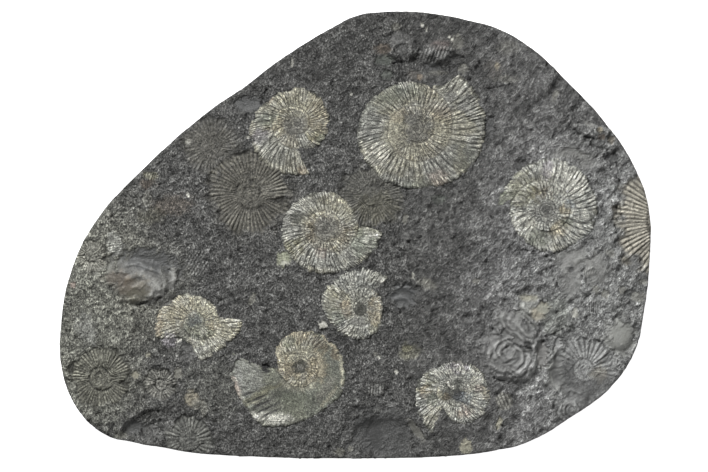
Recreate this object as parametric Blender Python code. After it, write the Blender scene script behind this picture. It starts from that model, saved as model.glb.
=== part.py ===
"""Fossil ammonite cluster: a rounded plate of dark shale with eight pressed ammonites in its face.

The plate lies flat on the ground plane, fossil face up, with its middle over the origin.
Lengths are written in millimetres and angles in degrees; MM turns a length to metres.
"""

import math
from collections import namedtuple

import bmesh
import bpy
import numpy as np
from mathutils import Vector, noise

MM = 0.001
OBJECT_NAME = "fossil_ammonite_cluster"

# Shale plate
BEDDING_PLANE = 18.0  # height of the face that the ammonites lie on
GRID_COLUMNS, GRID_ROWS = 36, 27
GRID_LENGTH, GRID_WIDTH = 348.0, 266.0
OUTLINE_STEPS = 2  # straight steps between two outline points
UNDULATION = 0.7  # height of the plate's slow waves
UNDULATION_LENGTH = 34.0
CALM_MARGIN = 9.0  # band around an ammonite in which the plate is level
PLATE_OUTLINE = (
    (16.5, 128.8), (34.0, 128.7), (49.0, 127.2), (65.1, 123.9), (81.0, 119.6), (102.0, 107.6),
    (123.8, 87.2), (143.4, 66.0), (161.4, 38.8), (169.2, 16.0), (169.8, -18.0), (166.6, -44.4),
    (161.8, -66.0), (149.0, -86.2), (122.4, -106.6), (97.3, -120.4), (81.2, -124.4),
    (57.0, -127.4), (0.6, -129.0), (-64.0, -127.8), (-96.2, -125.4), (-112.3, -122.4),
    (-128.4, -119.8), (-144.6, -115.0), (-160.6, -99.6), (-168.8, -78.9), (-170.0, -55.0),
    (-162.4, -16.7), (-147.5, 10.9), (-122.1, 38.4), (-82.9, 72.8), (-63.9, 85.6),
    (-44.4, 100.4), (-10.4, 121.2), (0.6, 126.4),
)

# Rises and hollows of the plate: x, y, half length, half width, turn of the long side, height
Mound = namedtuple("Mound", "x y long wide turn height")
MOUNDS = (
    Mound(-123.0, -27.5, 22.5, 13.0, -12.0, 4.2),  # clam on the left
    Mound(93.0, -54.5, 17.0, 9.5, -38.0, 4.0),  # upper valve of the clam on the right
    Mound(88.5, -71.5, 18.0, 12.5, -25.0, 4.4),  # lower valve of the clam on the right
    Mound(152.0, -56.0, 9.0, 11.0, 0.0, 3.0),  # smooth cap at the right rim
    Mound(124.5, -97.0, 12.0, 8.0, 35.0, 2.4),  # ridged bulge at the lower right
    Mound(137.5, 59.0, 11.0, 7.0, -35.0, 3.0),  # split lump at the upper right
    Mound(132.0, -23.0, 19.0, 14.0, 30.0, 1.8),  # smooth swell under the right ammonite
    Mound(48.5, 105.5, 11.0, 8.0, 20.0, 2.4),  # ribbed lump at the top
    Mound(27.0, 108.0, 9.5, 9.5, 0.0, 2.0),  # small coil at the top
    Mound(42.0, 97.0, 12.0, 6.5, -25.0, -2.6),  # hollow between them
    Mound(19.0, -117.0, 24.0, 12.0, 0.0, -2.8),  # smooth hollow at the lower rim
    Mound(-120.5, -111.0, 19.0, 9.0, 32.0, -4.0),  # chipped pocket at the lower left
    Mound(-65.0, 79.0, 11.0, 9.0, 0.0, -1.8),  # smooth hollow at the upper left
)

# A coil grows outwards with its growth angle: rim holds (growth angle, outer radius) pairs, the last
# one at the mouth. hand is 1 for a coil that grows counter-clockwise and -1 for a clockwise one, ribs
# counts the ribs in one turn, steps the half ribs that are modelled back from the mouth, and past
# smooth_from the coil has no ribs.
Coil = namedtuple("Coil", "name x y hand ribs steps rim smooth_from")
NEVER = 9999.0
AMMONITES = (
    Coil(
        "ammonite_large", 34.7, 61.3, 1, 27, 112,
        (
            (-900, 2.9), (-720, 4.6), (-540, 6.3), (-450, 7.8), (-360, 10.9), (-262, 13.1),
            (-173, 16.1), (-90, 19.0), (0, 21.0), (72, 25.3), (94, 27.1), (132, 28.8), (185, 34.0),
            (222, 34.0), (261, 34.8), (294, 35.7), (317, 38.6), (343, 40.1), (387, 40.9), (412, 40.1),
        ),
        NEVER,
    ),
    Coil(
        "ammonite_upper_left", -33.7, 64.3, 1, 20, 70,
        (
            (-720, 2.3), (-360, 7.5), (-270, 9.2), (-180, 14.1), (-90, 14.7), (-45, 17.9), (0, 19.0),
            (90, 20.6), (135, 20.2), (160, 23.0), (180, 26.9), (230, 29.4), (277, 29.8),
        ),
        NEVER,
    ),
    Coil(
        "ammonite_right", 110.3, 14.7, 1, 22, 87,
        (
            (-900, 6.6), (-720, 8.5), (-540, 12.1), (-450, 12.7), (-360, 13.8), (-270, 16.1),
            (-180, 21.3), (-123, 21.7), (-90, 25.3), (-53, 24.9), (-38, 27.5), (-18, 29.1), (29, 29.1),
            (51, 30.0), (98, 29.4), (118, 27.5), (144, 26.4), (162, 28.1), (176, 27.8),
        ),
        NEVER,
    ),
    Coil(
        "ammonite_centre", -16.8, 3.2, 1, 22, 65,
        (
            (-540, 5.2), (-360, 9.0), (-176, 12.4), (-90, 12.7), (7, 19.0), (31, 19.8), (67, 21.3),
            (107, 21.9), (141, 23.6), (165, 25.2), (182, 25.7), (218, 25.8), (276, 26.0), (300, 26.2),
            (326, 29.4), (348, 31.9), (358, 32.1),
        ),
        NEVER,
    ),
    Coil(
        "ammonite_centre_low", 3.7, -42.6, -1, 20, 54,
        (
            (-900, 4.6), (-720, 8.0), (-540, 11.5), (-401, 13.2), (-345, 11.9), (-328, 14.4),
            (-276, 17.2), (-237, 18.7), (-216, 18.2), (-166, 24.0), (-132, 23.0), (-94, 22.6),
            (-50, 23.8),
        ),
        NEVER,
    ),
    Coil(
        "ammonite_open_coil", -31.8, -76.0, -1, 22, 64,
        (
            (-1060, 2.9), (-700, 6.9), (-340, 10.9), (-283, 11.5), (-211, 11.4), (-170, 13.5),
            (-132, 18.4), (-81, 21.1), (-24, 24.2), (13, 27.1), (36, 28.8), (62, 28.1), (94, 32.3),
            (126, 41.1), (138, 38.4), (147, 38.9), (171, 40.0), (180, 41.1), (191, 38.8),
        ),
        60.0,
    ),
    Coil(
        "ammonite_left", -91.1, -50.2, 1, 20, 57,
        (
            (-510, 3.0), (-330, 4.6), (-150, 8.0), (30, 13.6), (62, 13.7), (104, 17.0), (141, 19.8),
            (162, 22.3), (182, 23.8), (205, 26.3), (214, 13.0), (262, 13.0), (270, 23.0), (290, 21.5),
            (327, 21.1), (345, 25.1), (363, 27.1),
        ),
        NEVER,
    ),
    Coil(
        "ammonite_bottom_right", 57.8, -90.6, 1, 20, 66,
        (
            (-810, 4.0), (-450, 8.1), (-122, 11.5), (-90, 18.1), (-61, 19.5), (-27, 21.1), (-2, 19.6),
            (33, 19.0), (82, 18.0), (124, 17.3), (164, 23.2), (182, 22.7), (212, 24.6), (239, 27.1),
        ),
        NEVER,
    ),
)

# Faint prints of further coils, which are part of the shale itself
PRINTS = (
    Coil("print_brown", -60.5, 24.2, 1, 14, 30, ((-400, 8.0), (-20, 21.0), (340, 23.0)), NEVER),
    Coil("print_upper_left", -82.4, 51.0, 1, 12, 26, ((-400, 5.0), (-20, 14.0), (340, 17.0)), NEVER),
    Coil("print_centre", 9.8, 23.0, 1, 12, 26, ((-400, 6.0), (-20, 17.0), (340, 19.0)), NEVER),
    Coil("print_corner", -146.5, -82.0, 1, 12, 26, ((-400, 5.0), (-20, 13.0), (340, 17.0)), NEVER),
    Coil("print_lower_right", 132.5, -77.2, 1, 12, 26, ((-400, 6.5), (-20, 19.0), (340, 21.3)), NEVER),
    Coil("print_rim", -95.0, -117.5, 1, 11, 24, ((-400, 5.0), (-20, 12.5), (340, 13.8)), NEVER),
)

RIB_TOP, RIB_FOOT = 2.0, 1.0  # heights above the bedding plane
SEAM_HEIGHT, RIM_HEIGHT = 0.8, 0.4
PRINT_RELIEF = 0.95  # a print's relief against an ammonite's
PRINT_SINK = 0.5  # how far a print's rim lies under the plate's face
SHOULDERS = (0.3, 0.82)  # where a whorl's two shoulders lie between its seams
SEAT_DEPTH = 2.2  # how deep an ammonite is set in the plate
GAP = 0.3  # clearance between an ammonite and its seat
CUTTER_HEADROOM = 12.0
WELD = 0.02
SHARP_ANGLE = 40.0

SHALE_ROUGHNESS, FOSSIL_ROUGHNESS = 0.8, 0.6
SHALE_COLOUR = (0.105, 0.105, 0.1, 1.0)
FOSSIL_COLOURS = {
    "ammonite_large": (0.27, 0.25, 0.19, 1.0),
    "ammonite_upper_left": (0.27, 0.25, 0.19, 1.0),
    "ammonite_right": (0.29, 0.29, 0.26, 1.0),
    "ammonite_centre": (0.25, 0.24, 0.19, 1.0),
    "ammonite_centre_low": (0.26, 0.26, 0.22, 1.0),
    "ammonite_open_coil": (0.2, 0.2, 0.15, 1.0),
    "ammonite_left": (0.26, 0.25, 0.2, 1.0),
    "ammonite_bottom_right": (0.24, 0.23, 0.19, 1.0),
}


def clear_scene():
    for obj in list(bpy.data.objects):
        bpy.data.objects.remove(obj, do_unlink=True)


def new_collection(name):
    collection = bpy.data.collections.new(name)
    bpy.context.scene.collection.children.link(collection)
    return collection


def stone_material(name, colour, roughness):
    material = bpy.data.materials.new(name)
    material.use_nodes = True
    shader = material.node_tree.nodes["Principled BSDF"]
    shader.inputs["Base Color"].default_value = colour
    shader.inputs["Roughness"].default_value = roughness
    shader.inputs["Metallic"].default_value = 0.0
    return material


def object_from_bmesh(name, bm, collection):
    bmesh.ops.recalc_face_normals(bm, faces=bm.faces)
    mesh = bpy.data.meshes.new(name)
    bm.to_mesh(mesh)
    bm.free()
    obj = bpy.data.objects.new(name, mesh)
    collection.objects.link(obj)
    return obj


def as_tool(obj):
    """Marks a solid that only shapes another one."""
    obj.hide_render = True
    obj.display_type = "WIRE"


def add_boolean(obj, tool, operation):
    modifier = obj.modifiers.new(f"{operation.lower()}_{tool.name}", "BOOLEAN")
    modifier.operation = operation
    modifier.object = tool
    modifier.solver = "EXACT"


def rim_radius(coil, growth):
    angles, radii = zip(*coil.rim)
    return float(np.interp(growth, angles, radii))


def calmness(x, y):
    """1 on an ammonite and just around it, 0 away from all of them."""
    calm = 0.0
    for coil in AMMONITES:
        reach = max(radius for _, radius in coil.rim)
        beyond = math.hypot(x - coil.x, y - coil.y) - reach
        calm = max(calm, min(1.0, max(0.0, 1.0 - beyond / CALM_MARGIN)))
    return calm


def mound_height(mound, x, y):
    turn = math.radians(mound.turn)
    dx, dy = x - mound.x, y - mound.y
    along = (dx * math.cos(turn) + dy * math.sin(turn)) / mound.long
    across = (dy * math.cos(turn) - dx * math.sin(turn)) / mound.wide
    inside = max(0.0, 1.0 - along * along - across * across)
    return mound.height * inside * (2.0 - inside)


def plate_height(x, y):
    """Height of the shale face over the point, in millimetres."""
    waves = noise.noise(Vector((x, y, 0.0)) / UNDULATION_LENGTH) * UNDULATION
    relief = waves * (1.0 - calmness(x, y))
    relief += sum(mound_height(mound, x, y) for mound in MOUNDS)
    return BEDDING_PLANE + relief


def relief_block(collection):
    """A block wider than the plate, whose top carries the plate's rises and hollows."""
    bm = bmesh.new()
    bmesh.ops.create_grid(bm, x_segments=GRID_COLUMNS, y_segments=GRID_ROWS, size=0.5)
    bmesh.ops.scale(bm, vec=(GRID_LENGTH * MM, GRID_WIDTH * MM, 1.0), verts=bm.verts)
    for vert in bm.verts:
        vert.co.z = plate_height(vert.co.x / MM, vert.co.y / MM) * MM
    skirt = bmesh.ops.extrude_edge_only(bm, edges=[edge for edge in bm.edges if edge.is_boundary])
    for item in skirt["geom"]:
        if isinstance(item, bmesh.types.BMVert):
            item.co.z = -BEDDING_PLANE * MM
    bmesh.ops.holes_fill(bm, edges=[edge for edge in bm.edges if edge.is_boundary], sides=0)
    return object_from_bmesh("shale_slab", bm, collection)


def outline_prism(collection):
    """The plate's outline as an upright solid, standing on the ground plane."""
    curve = bpy.data.curves.new("plate_outline", "CURVE")
    curve.dimensions = "2D"
    curve.fill_mode = "BOTH"
    curve.resolution_u = OUTLINE_STEPS
    curve.extrude = BEDDING_PLANE * MM
    spline = curve.splines.new("BEZIER")
    spline.bezier_points.add(len(PLATE_OUTLINE) - 1)
    for point, (x, y) in zip(spline.bezier_points, PLATE_OUTLINE):
        point.co = (x * MM, y * MM, 0.0)
        point.handle_left_type = point.handle_right_type = "AUTO"
    spline.use_cyclic_u = True
    drawn = bpy.data.objects.new("plate_outline", curve)
    collection.objects.link(drawn)
    drawn.location.z = BEDDING_PLANE * MM
    bpy.context.view_layer.update()
    evaluated = drawn.evaluated_get(bpy.context.evaluated_depsgraph_get())
    mesh = bpy.data.meshes.new_from_object(evaluated)
    mesh.transform(drawn.matrix_world)
    bpy.data.objects.remove(drawn, do_unlink=True)
    bm = bmesh.new()
    bm.from_mesh(mesh)
    bmesh.ops.remove_doubles(bm, verts=bm.verts, dist=WELD * MM)
    prism = object_from_bmesh("plate_prism", bm, collection)
    as_tool(prism)
    return prism


def coil_point(coil, growth, radius, height):
    angle = math.radians(coil.hand * growth)
    return Vector(
        (
            (coil.x + radius * math.cos(angle)) * MM,
            (coil.y + radius * math.sin(angle)) * MM,
            height * MM,
        )
    )


def whorl_height(coil, growth, row, step, scale):
    """Height over the bedding plane of one point of the coil's ribbed band."""
    mouth = coil.rim[-1][0]
    if row == 0:
        return SEAM_HEIGHT * scale
    if row == len(SHOULDERS) + 1:
        outermost = growth > mouth - 360.0 + WELD
        return (RIM_HEIGHT if outermost else SEAM_HEIGHT) * scale
    smooth = growth > coil.smooth_from
    on_rib = step % 2 == 0 and not smooth
    return (RIB_TOP if on_rib else RIB_FOOT) * scale


def coil_sheet(bm, coil, level, scale):
    """A flat band rolled up along the coil, with its ribs raised and its seams joined."""
    rows = (0.0, *SHOULDERS, 1.0)
    step_angle = 180.0 / coil.ribs
    mouth = coil.rim[-1][0]
    bmesh.ops.create_grid(bm, x_segments=coil.steps, y_segments=len(rows) - 1, size=0.5)
    for vert in bm.verts:
        step = round((vert.co.x + 0.5) * coil.steps)
        row = round((vert.co.y + 0.5) * (len(rows) - 1))
        growth = mouth - (coil.steps - step) * step_angle
        inner, outer = rim_radius(coil, growth - 360.0), rim_radius(coil, growth)
        radius = inner + (outer - inner) * rows[row]
        height = level + whorl_height(coil, growth, row, coil.steps - step, scale)
        vert.co = coil_point(coil, growth, radius, height)
    bmesh.ops.remove_doubles(bm, verts=bm.verts, dist=WELD * MM)


def connected_edges(start, allowed):
    """The edges of the allowed set that hang together with the start edge."""
    found, front = {start}, [start]
    while front:
        edge = front.pop()
        near = {other for vert in edge.verts for other in vert.link_edges} & allowed
        front.extend(near - found)
        found |= near
    return found


def hub_and_rim(bm, coil):
    """The open edges around the coil's hub, and those around its outside."""
    centre = Vector((coil.x * MM, coil.y * MM))

    def reach(edge):
        return max((vert.co.xy - centre).length for vert in edge.verts)

    open_edges = {edge for edge in bm.edges if edge.is_boundary}
    rim = connected_edges(max(open_edges, key=reach), open_edges)
    return list(open_edges - rim), list(rim)


def coil_solid(coil, level, bottom, scale, collection):
    """The ribbed coil as a closed solid with a flat underside."""
    bm = bmesh.new()
    coil_sheet(bm, coil, level, scale)
    hub, rim = hub_and_rim(bm, coil)
    core = bmesh.ops.contextual_create(bm, geom=hub)["faces"]
    tip = bmesh.ops.poke(bm, faces=core)["verts"][0]
    tip.co = coil_point(coil, 0.0, 0.0, level + RIB_FOOT * scale)
    wall = bmesh.ops.extrude_edge_only(bm, edges=rim)["geom"]
    for item in wall:
        if isinstance(item, bmesh.types.BMVert):
            item.co.z = bottom * MM
    bmesh.ops.contextual_create(bm, geom=[edge for edge in bm.edges if edge.is_boundary])
    return object_from_bmesh(coil.name, bm, collection)


def seat_cutter(coil, collection):
    """The coil's outline as an upright solid, wider than the coil by the gap all round."""
    bm = bmesh.new()
    coil_sheet(bm, coil, 0.0, 0.0)
    hub, _ = hub_and_rim(bm, coil)
    bmesh.ops.contextual_create(bm, geom=hub)
    floor = bmesh.ops.dissolve_faces(bm, faces=list(bm.faces))["region"]
    lid = bmesh.ops.extrude_face_region(bm, geom=floor)["geom"]
    for vert in bm.verts:
        vert.co.z = (BEDDING_PLANE - SEAT_DEPTH) * MM
    for item in lid:
        if isinstance(item, bmesh.types.BMVert):
            item.co.z = (BEDDING_PLANE + CUTTER_HEADROOM) * MM
    bmesh.ops.recalc_face_normals(bm, faces=bm.faces)
    bm.normal_update()
    shifts = [vert.normal * (GAP * MM * vert.calc_shell_factor()) for vert in bm.verts]
    for vert, shift in zip(bm.verts, shifts):
        vert.co += shift
    cutter = object_from_bmesh(f"seat_{coil.name}", bm, collection)
    as_tool(cutter)
    return cutter


def finish_part(obj, material):
    obj.data.materials.append(material)
    obj.data.shade_smooth()
    obj.data.set_sharp_from_angle(angle=math.radians(SHARP_ANGLE))


def build_plate(parts, tools):
    plate = relief_block(parts)
    for coil in PRINTS:
        level = plate_height(coil.x, coil.y) - PRINT_SINK
        shape = coil_solid(coil, level, BEDDING_PLANE - SEAT_DEPTH, PRINT_RELIEF, tools)
        as_tool(shape)
        add_boolean(plate, shape, "UNION")
    add_boolean(plate, outline_prism(tools), "INTERSECT")
    for coil in AMMONITES:
        add_boolean(plate, seat_cutter(coil, tools), "DIFFERENCE")
    finish_part(plate, stone_material("shale", SHALE_COLOUR, SHALE_ROUGHNESS))


def build_ammonites(parts):
    for coil in AMMONITES:
        fossil = coil_solid(coil, BEDDING_PLANE, BEDDING_PLANE - SEAT_DEPTH, 1.0, parts)
        finish_part(fossil, stone_material(coil.name, FOSSIL_COLOURS[coil.name], FOSSIL_ROUGHNESS))


def main():
    clear_scene()
    parts = new_collection(OBJECT_NAME)
    tools = new_collection("shaping_solids")
    build_plate(parts, tools)
    build_ammonites(parts)


main()
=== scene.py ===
# %% [markdown]
# # A plate of shale with pressed ammonites
# The object is one split plate of dark shale, a hand's breadth of ancient sea floor, with eight coiled
# shells pressed flat in its face. It could be carved from one dense block, but a shell is a rolled-up
# ribbed band and the plate is a broken face, so each is made in the way it grew: the shells as bands
# wound on a spiral, the plate as a sheet whose height is worked out point by point. First comes the
# fixed frame, which gives every piece its place and size.

# %% Load the frame
import math
from collections import namedtuple

import bmesh
import bpy
import numpy as np
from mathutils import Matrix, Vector, kdtree, noise


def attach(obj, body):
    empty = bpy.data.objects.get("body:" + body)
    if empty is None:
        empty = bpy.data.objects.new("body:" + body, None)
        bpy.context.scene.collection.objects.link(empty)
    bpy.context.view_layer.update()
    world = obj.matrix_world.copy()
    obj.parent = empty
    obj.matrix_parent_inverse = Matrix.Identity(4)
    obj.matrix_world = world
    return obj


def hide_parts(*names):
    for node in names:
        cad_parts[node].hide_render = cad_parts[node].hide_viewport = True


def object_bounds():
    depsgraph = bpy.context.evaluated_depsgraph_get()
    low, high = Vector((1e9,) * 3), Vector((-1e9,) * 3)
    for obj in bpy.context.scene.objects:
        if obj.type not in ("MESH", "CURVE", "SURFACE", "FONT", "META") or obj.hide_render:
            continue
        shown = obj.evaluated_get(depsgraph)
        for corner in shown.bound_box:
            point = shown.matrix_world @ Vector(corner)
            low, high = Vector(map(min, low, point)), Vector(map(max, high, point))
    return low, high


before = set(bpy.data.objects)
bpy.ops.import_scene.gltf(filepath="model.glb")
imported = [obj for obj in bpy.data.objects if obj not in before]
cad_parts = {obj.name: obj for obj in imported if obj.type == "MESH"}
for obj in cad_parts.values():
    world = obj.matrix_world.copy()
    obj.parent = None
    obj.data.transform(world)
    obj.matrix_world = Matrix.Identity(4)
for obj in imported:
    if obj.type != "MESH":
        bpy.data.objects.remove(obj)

MM = 0.001
FRAME_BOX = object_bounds()
BODY = "root"
print("frame box in mm:", [round(side / MM, 1) for side in FRAME_BOX[1] - FRAME_BOX[0]])

# %% [markdown]
# ## Numbers that look like nature
# Stone has no straight lines. Nearly every height and colour below is mixed from three small tools: a
# smooth step between two levels, a field of soft waves, and a random number that is the same on every
# run. They all work on whole lists of points at once, which keeps the script short and quick.

# %% Steps, waves and scatter
def smooth(value, low, high):
    """0 below low, 1 above high, with a soft step between; low may be the larger one."""
    share = np.clip((value - low) / (high - low), 0.0, 1.0)
    return share * share * (3.0 - 2.0 * share)


def mix(first, second, share):
    return first + (second - first) * share


def turned(x, y, turn):
    """The points' places along and across a direction that is turned by that many degrees."""
    cos, sin = math.cos(math.radians(turn)), math.sin(math.radians(turn))
    return x * cos + y * sin, y * cos - x * sin


def waves(x, y, size, octaves=3, seed=0.0, stretch=1.0, turn=0.0):
    """Soft unevenness between about -1 and 1; size is its grain in mm, stretch how long it is drawn."""
    along, across = turned(x, y, turn)
    places = zip((along / (size * stretch)).tolist(), (across / size).tolist())
    return np.array([noise.fractal((a, b, seed), 1.0, 2.0, octaves) for a, b in places])


def scatter(numbers, seed=0.0):
    """A repeatable random number from 0 to 1 for each whole number."""
    return np.modf(np.abs(np.sin(np.round(numbers) * 12.9898 + seed * 78.233) * 43758.5453))[0]


# %% [markdown]
# ## The palette
# Most of this stone is grey, but never one grey: the shale is blue-black where it is fresh and olive
# or brown where old shell has stained it, and the shells run from silver to cream and rust. The
# colours are written as on a colour chart, red, green and blue from 0 to 255, and turned into linear
# light, which Cycles works in.

# %% Colours
def chart(red, green, blue):
    """A colour-chart colour, 0 to 255, as linear light."""
    share = np.array((red, green, blue)) / 255.0
    return np.where(share <= 0.04045, share / 12.92, ((share + 0.055) / 1.055) ** 2.4)


CHART_COLOURS = {
    "silver": (152, 153, 147), "white": (222, 221, 210), "grey": (134, 134, 129),
    "ash": (135, 134, 125), "cream": (168, 165, 147), "tan": (162, 154, 133), "rust": (141, 126, 106),
    "brown": (108, 100, 84), "olive": (132, 130, 104), "green": (128, 134, 120),
    "green_grey": (109, 112, 101), "nodule": (160, 163, 142), "blue": (138, 144, 146),
    "lilac": (138, 134, 138), "pink": (172, 158, 148), "dark": (74, 75, 68), "shade": (104, 108, 94),
    "pit": (52, 52, 52), "smooth_dark": (74, 75, 75), "smooth_mid": (98, 98, 96),
    "smooth_light": (124, 124, 120), "brown_grey": (92, 88, 82), "blue_dark": (84, 88, 92),
    "rust_dark": (97, 86, 74), "olive_dark": (92, 90, 76), "dark_green": (80, 86, 78),
    "pink_dark": (118, 106, 102), "brown_print": (94, 91, 80), "zone_left": (122, 123, 115),
    "zone_right": (148, 149, 147),
}
PALETTE = {name: chart(*levels) for name, levels in CHART_COLOURS.items()}
print(len(PALETTE), "colours")

# %% [markdown]
# ## Patches, cracks and stains
# The marks on the stone aren't spread evenly: here the shell is cream, there it has flaked off, and
# between the shells lie chips and hollows. Each such place is one row in a list: an oval, its colour,
# how much of the ribs or of the rough face is left in it, and how far it rises. Its edge is made
# ragged with waves, so no oval ever shows. All lengths are millimetres on the plate.

# %% Ragged patches
Patch = namedtuple("Patch", "x y long wide turn colour amount keep rise", defaults=(1.0, 0.0))
RAGGED_GRAIN, RAGGED_DEPTH = 3.4, 0.55
CHIP_GRAIN, CHIP_DEPTH = 1.5, 0.45
CHIP_SIZE = 4.5  # a patch with a shorter half length is a chip with a crisp edge
SOFT_EDGE, CRISP_EDGE = 0.35, 0.14


def patch_list(*rows):
    """Each row: x, y, half length, half width, turn, colour, amount, then what is kept, and the rise."""
    return [Patch(*row) for row in rows]


def oval(spot, x, y):
    """0 in the middle of an oval spot and 1 on its edge."""
    along, across = turned(x - spot.x, y - spot.y, spot.turn)
    return np.hypot(along / spot.long, across / spot.wide)


def patch_shares(patches, x, y):
    """Each patch with how far it covers each point, from 0 to 1."""
    ragged = waves(x, y, RAGGED_GRAIN, 4, seed=5.0) * RAGGED_DEPTH
    chipped = waves(x, y, CHIP_GRAIN, 3, seed=6.0) * CHIP_DEPTH
    for patch in patches:
        chip = patch.long < CHIP_SIZE
        edge = oval(patch, x, y) + (chipped if chip else ragged)
        soft = CRISP_EDGE if chip else SOFT_EDGE
        yield patch, smooth(edge, 1.0 + soft, 1.0 - soft)


def paint(colours, patches, x, y):
    """Mixes each patch's colour into the colours; its darker and lighter grain stays."""
    for patch, share in patch_shares(patches, x, y):
        cover = (share * patch.amount)[:, None]
        colours[:] = mix(colours, PALETTE[patch.colour], cover)


def kept(patches, x, y):
    """How much of the ribs or of the rough face is left at each point, and the patches' rise in mm."""
    left, rise = np.ones(len(x)), np.zeros(len(x))
    for patch, share in patch_shares(patches, x, y):
        left = mix(left, left * patch.keep, share)
        rise = rise + share * patch.rise
    return left, rise


# %% [markdown]
# ## Where the shells lie
# An ammonite's shell is a tube that grows along a spiral, with the youngest part, the mouth, outside.
# Each shell here is one line of facts: its middle, the way it winds, its number of ribs in a turn, and
# how far its rim reaches at some growth angles. The mouth's edge is broken, so it has its own few
# points: how far across the band, and the growth angle where the band ends there. One shell has lost
# its ribs from a certain growth angle on, and that angle ends its facts.

# %% The coils
NEVER = 9999.0  # a growth angle that no shell reaches
Coil = namedtuple("Coil", "name x y hand ribs lean rim mouth bare", defaults=(NEVER,))
AMMONITES = (
    Coil(
        "ammonite_large", 34.7, 61.3, 1, 54, 0.5,
        (
            (-900, 2.9), (-720, 4.6), (-540, 6.3), (-450, 7.8), (-360, 10.9), (-262, 13.1),
            (-173, 16.1), (-90, 19.0), (0, 21.0), (72, 25.3), (94, 27.1), (132, 28.8), (185, 34.0),
            (222, 34.0), (261, 34.8), (294, 35.7), (317, 38.6), (343, 40.1), (387, 40.9), (412, 40.1),
        ),
        ((0.0, 432.0), (0.35, 416.0), (1.0, 411.0)),
    ),
    Coil(
        "ammonite_upper_left", -33.7, 64.3, 1, 45, 0.5,
        (
            (-720, 2.3), (-360, 7.5), (-270, 9.2), (-180, 14.1), (-90, 14.7), (-45, 17.9), (0, 19.0),
            (90, 20.6), (135, 20.2), (160, 23.0), (180, 26.9), (230, 29.4), (277, 29.8),
        ),
        ((0.0, 277.0), (0.5, 280.0), (1.0, 285.0)),
    ),
    Coil(
        "ammonite_right", 110.3, 14.7, 1, 33, 0.5,
        (
            (-900, 6.6), (-720, 8.5), (-540, 12.1), (-450, 12.7), (-360, 13.8), (-270, 16.1),
            (-180, 21.3), (-123, 21.7), (-90, 25.3), (-53, 24.9), (-38, 27.5), (-18, 29.1), (29, 29.1),
            (51, 30.0), (98, 29.4), (118, 27.5), (144, 26.4), (162, 28.1), (176, 27.8),
        ),
        ((0.0, 170.0), (0.6, 174.0), (1.0, 178.0)),
    ),
    Coil(
        "ammonite_centre", -16.8, 3.2, 1, 44, 0.5,
        (
            (-540, 5.2), (-360, 9.0), (-176, 12.4), (-90, 12.7), (7, 19.0), (31, 19.8), (67, 21.3),
            (107, 21.9), (141, 23.6), (165, 25.2), (182, 25.7), (218, 25.8), (276, 26.0), (300, 26.2),
            (326, 29.4), (348, 31.9), (358, 32.1),
        ),
        ((0.0, 366.0), (0.5, 362.0), (1.0, 358.0)),
    ),
    Coil(
        "ammonite_centre_low", 3.7, -42.6, -1, 40, 0.5,
        (
            (-900, 4.6), (-720, 8.0), (-540, 11.5), (-401, 13.2), (-345, 11.9), (-328, 14.4),
            (-276, 17.2), (-237, 18.7), (-216, 18.2), (-166, 24.0), (-132, 23.0), (-94, 22.6),
            (-50, 23.8),
        ),
        ((0.0, -54.0), (1.0, -49.0)),
    ),
    Coil(
        "ammonite_open_coil", -31.8, -76.0, -1, 44, 0.5,
        (
            (-1060, 2.9), (-700, 6.9), (-340, 10.9), (-283, 11.5), (-211, 11.4), (-170, 13.5),
            (-132, 18.4), (-81, 21.1), (-24, 24.2), (13, 27.1), (36, 28.8), (62, 28.1), (94, 32.3),
            (126, 41.1), (138, 38.4), (147, 38.9), (171, 40.0), (180, 41.1), (191, 38.8),
        ),
        ((0.0, 176.0), (0.4, 183.0), (1.0, 192.0)),
        -40.0,
    ),
    Coil(
        "ammonite_left", -91.1, -50.2, 1, 40, 0.5,
        (
            (-510, 3.0), (-330, 4.6), (-150, 8.0), (30, 13.6), (62, 13.7), (104, 17.0), (141, 19.8),
            (162, 22.3), (182, 23.8), (205, 26.3), (214, 13.0), (262, 13.0), (270, 23.0), (290, 21.5),
            (327, 21.1), (345, 25.1), (363, 27.1),
        ),
        ((0.0, 372.0), (0.5, 366.0), (1.0, 362.0)),
    ),
    Coil(
        "ammonite_bottom_right", 57.8, -90.6, 1, 40, 0.5,
        (
            (-810, 4.0), (-450, 8.1), (-122, 11.5), (-90, 18.1), (-61, 19.5), (-27, 21.1), (-2, 19.6),
            (33, 19.0), (82, 18.0), (124, 17.3), (164, 23.2), (182, 22.7), (212, 24.6), (239, 27.1),
        ),
        ((0.0, 234.0), (1.0, 241.0)),
    ),
)

# %% [markdown]
# ## From growth to place
# Everything on a shell is known by two numbers: the growth angle, how far along the spiral it lies, and
# how far across the band, from 0 at the inner seam to 1 at the rim. The band of one turn starts where
# the rim of the turn before ends, so the same radius function gives both of its edges. Further in than
# the listed points the spiral goes on shrinking at the same rate, as a real shell does.

# %% The spiral
TURN = 360.0
MOST_TURNS = 12
RIM_SOFTNESS = 4.0  # degrees; rounds the rim where two of its points meet
RIM_RAGGED, INNER_RAGGED = 0.95, 0.25
RIM_WAVE = 7.0  # degrees; grain of the ragged rim
MOUTH_BLEND = 70.0  # degrees before the mouth over which its broken edge is shared out
MOUTH_SINK = 9.0  # degrees before the mouth over which the shell sinks into the stone
BARE_FADE = 25.0  # degrees before and after the place where the ribs end


def mouth_end(coil):
    return coil.mouth[0][1]


def last_turn(coil, growth, before=0.0, after=15.0):
    """0 on the inner turns and 1 on the last one, which starts a full turn before the mouth."""
    start = mouth_end(coil) - TURN
    return smooth(growth, start - before, start + after)


def ribbed(coil, growth):
    """1 where the shell has its ribs and 0 where it has lost them."""
    return smooth(growth, coil.bare + BARE_FADE, coil.bare - BARE_FADE)


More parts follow.
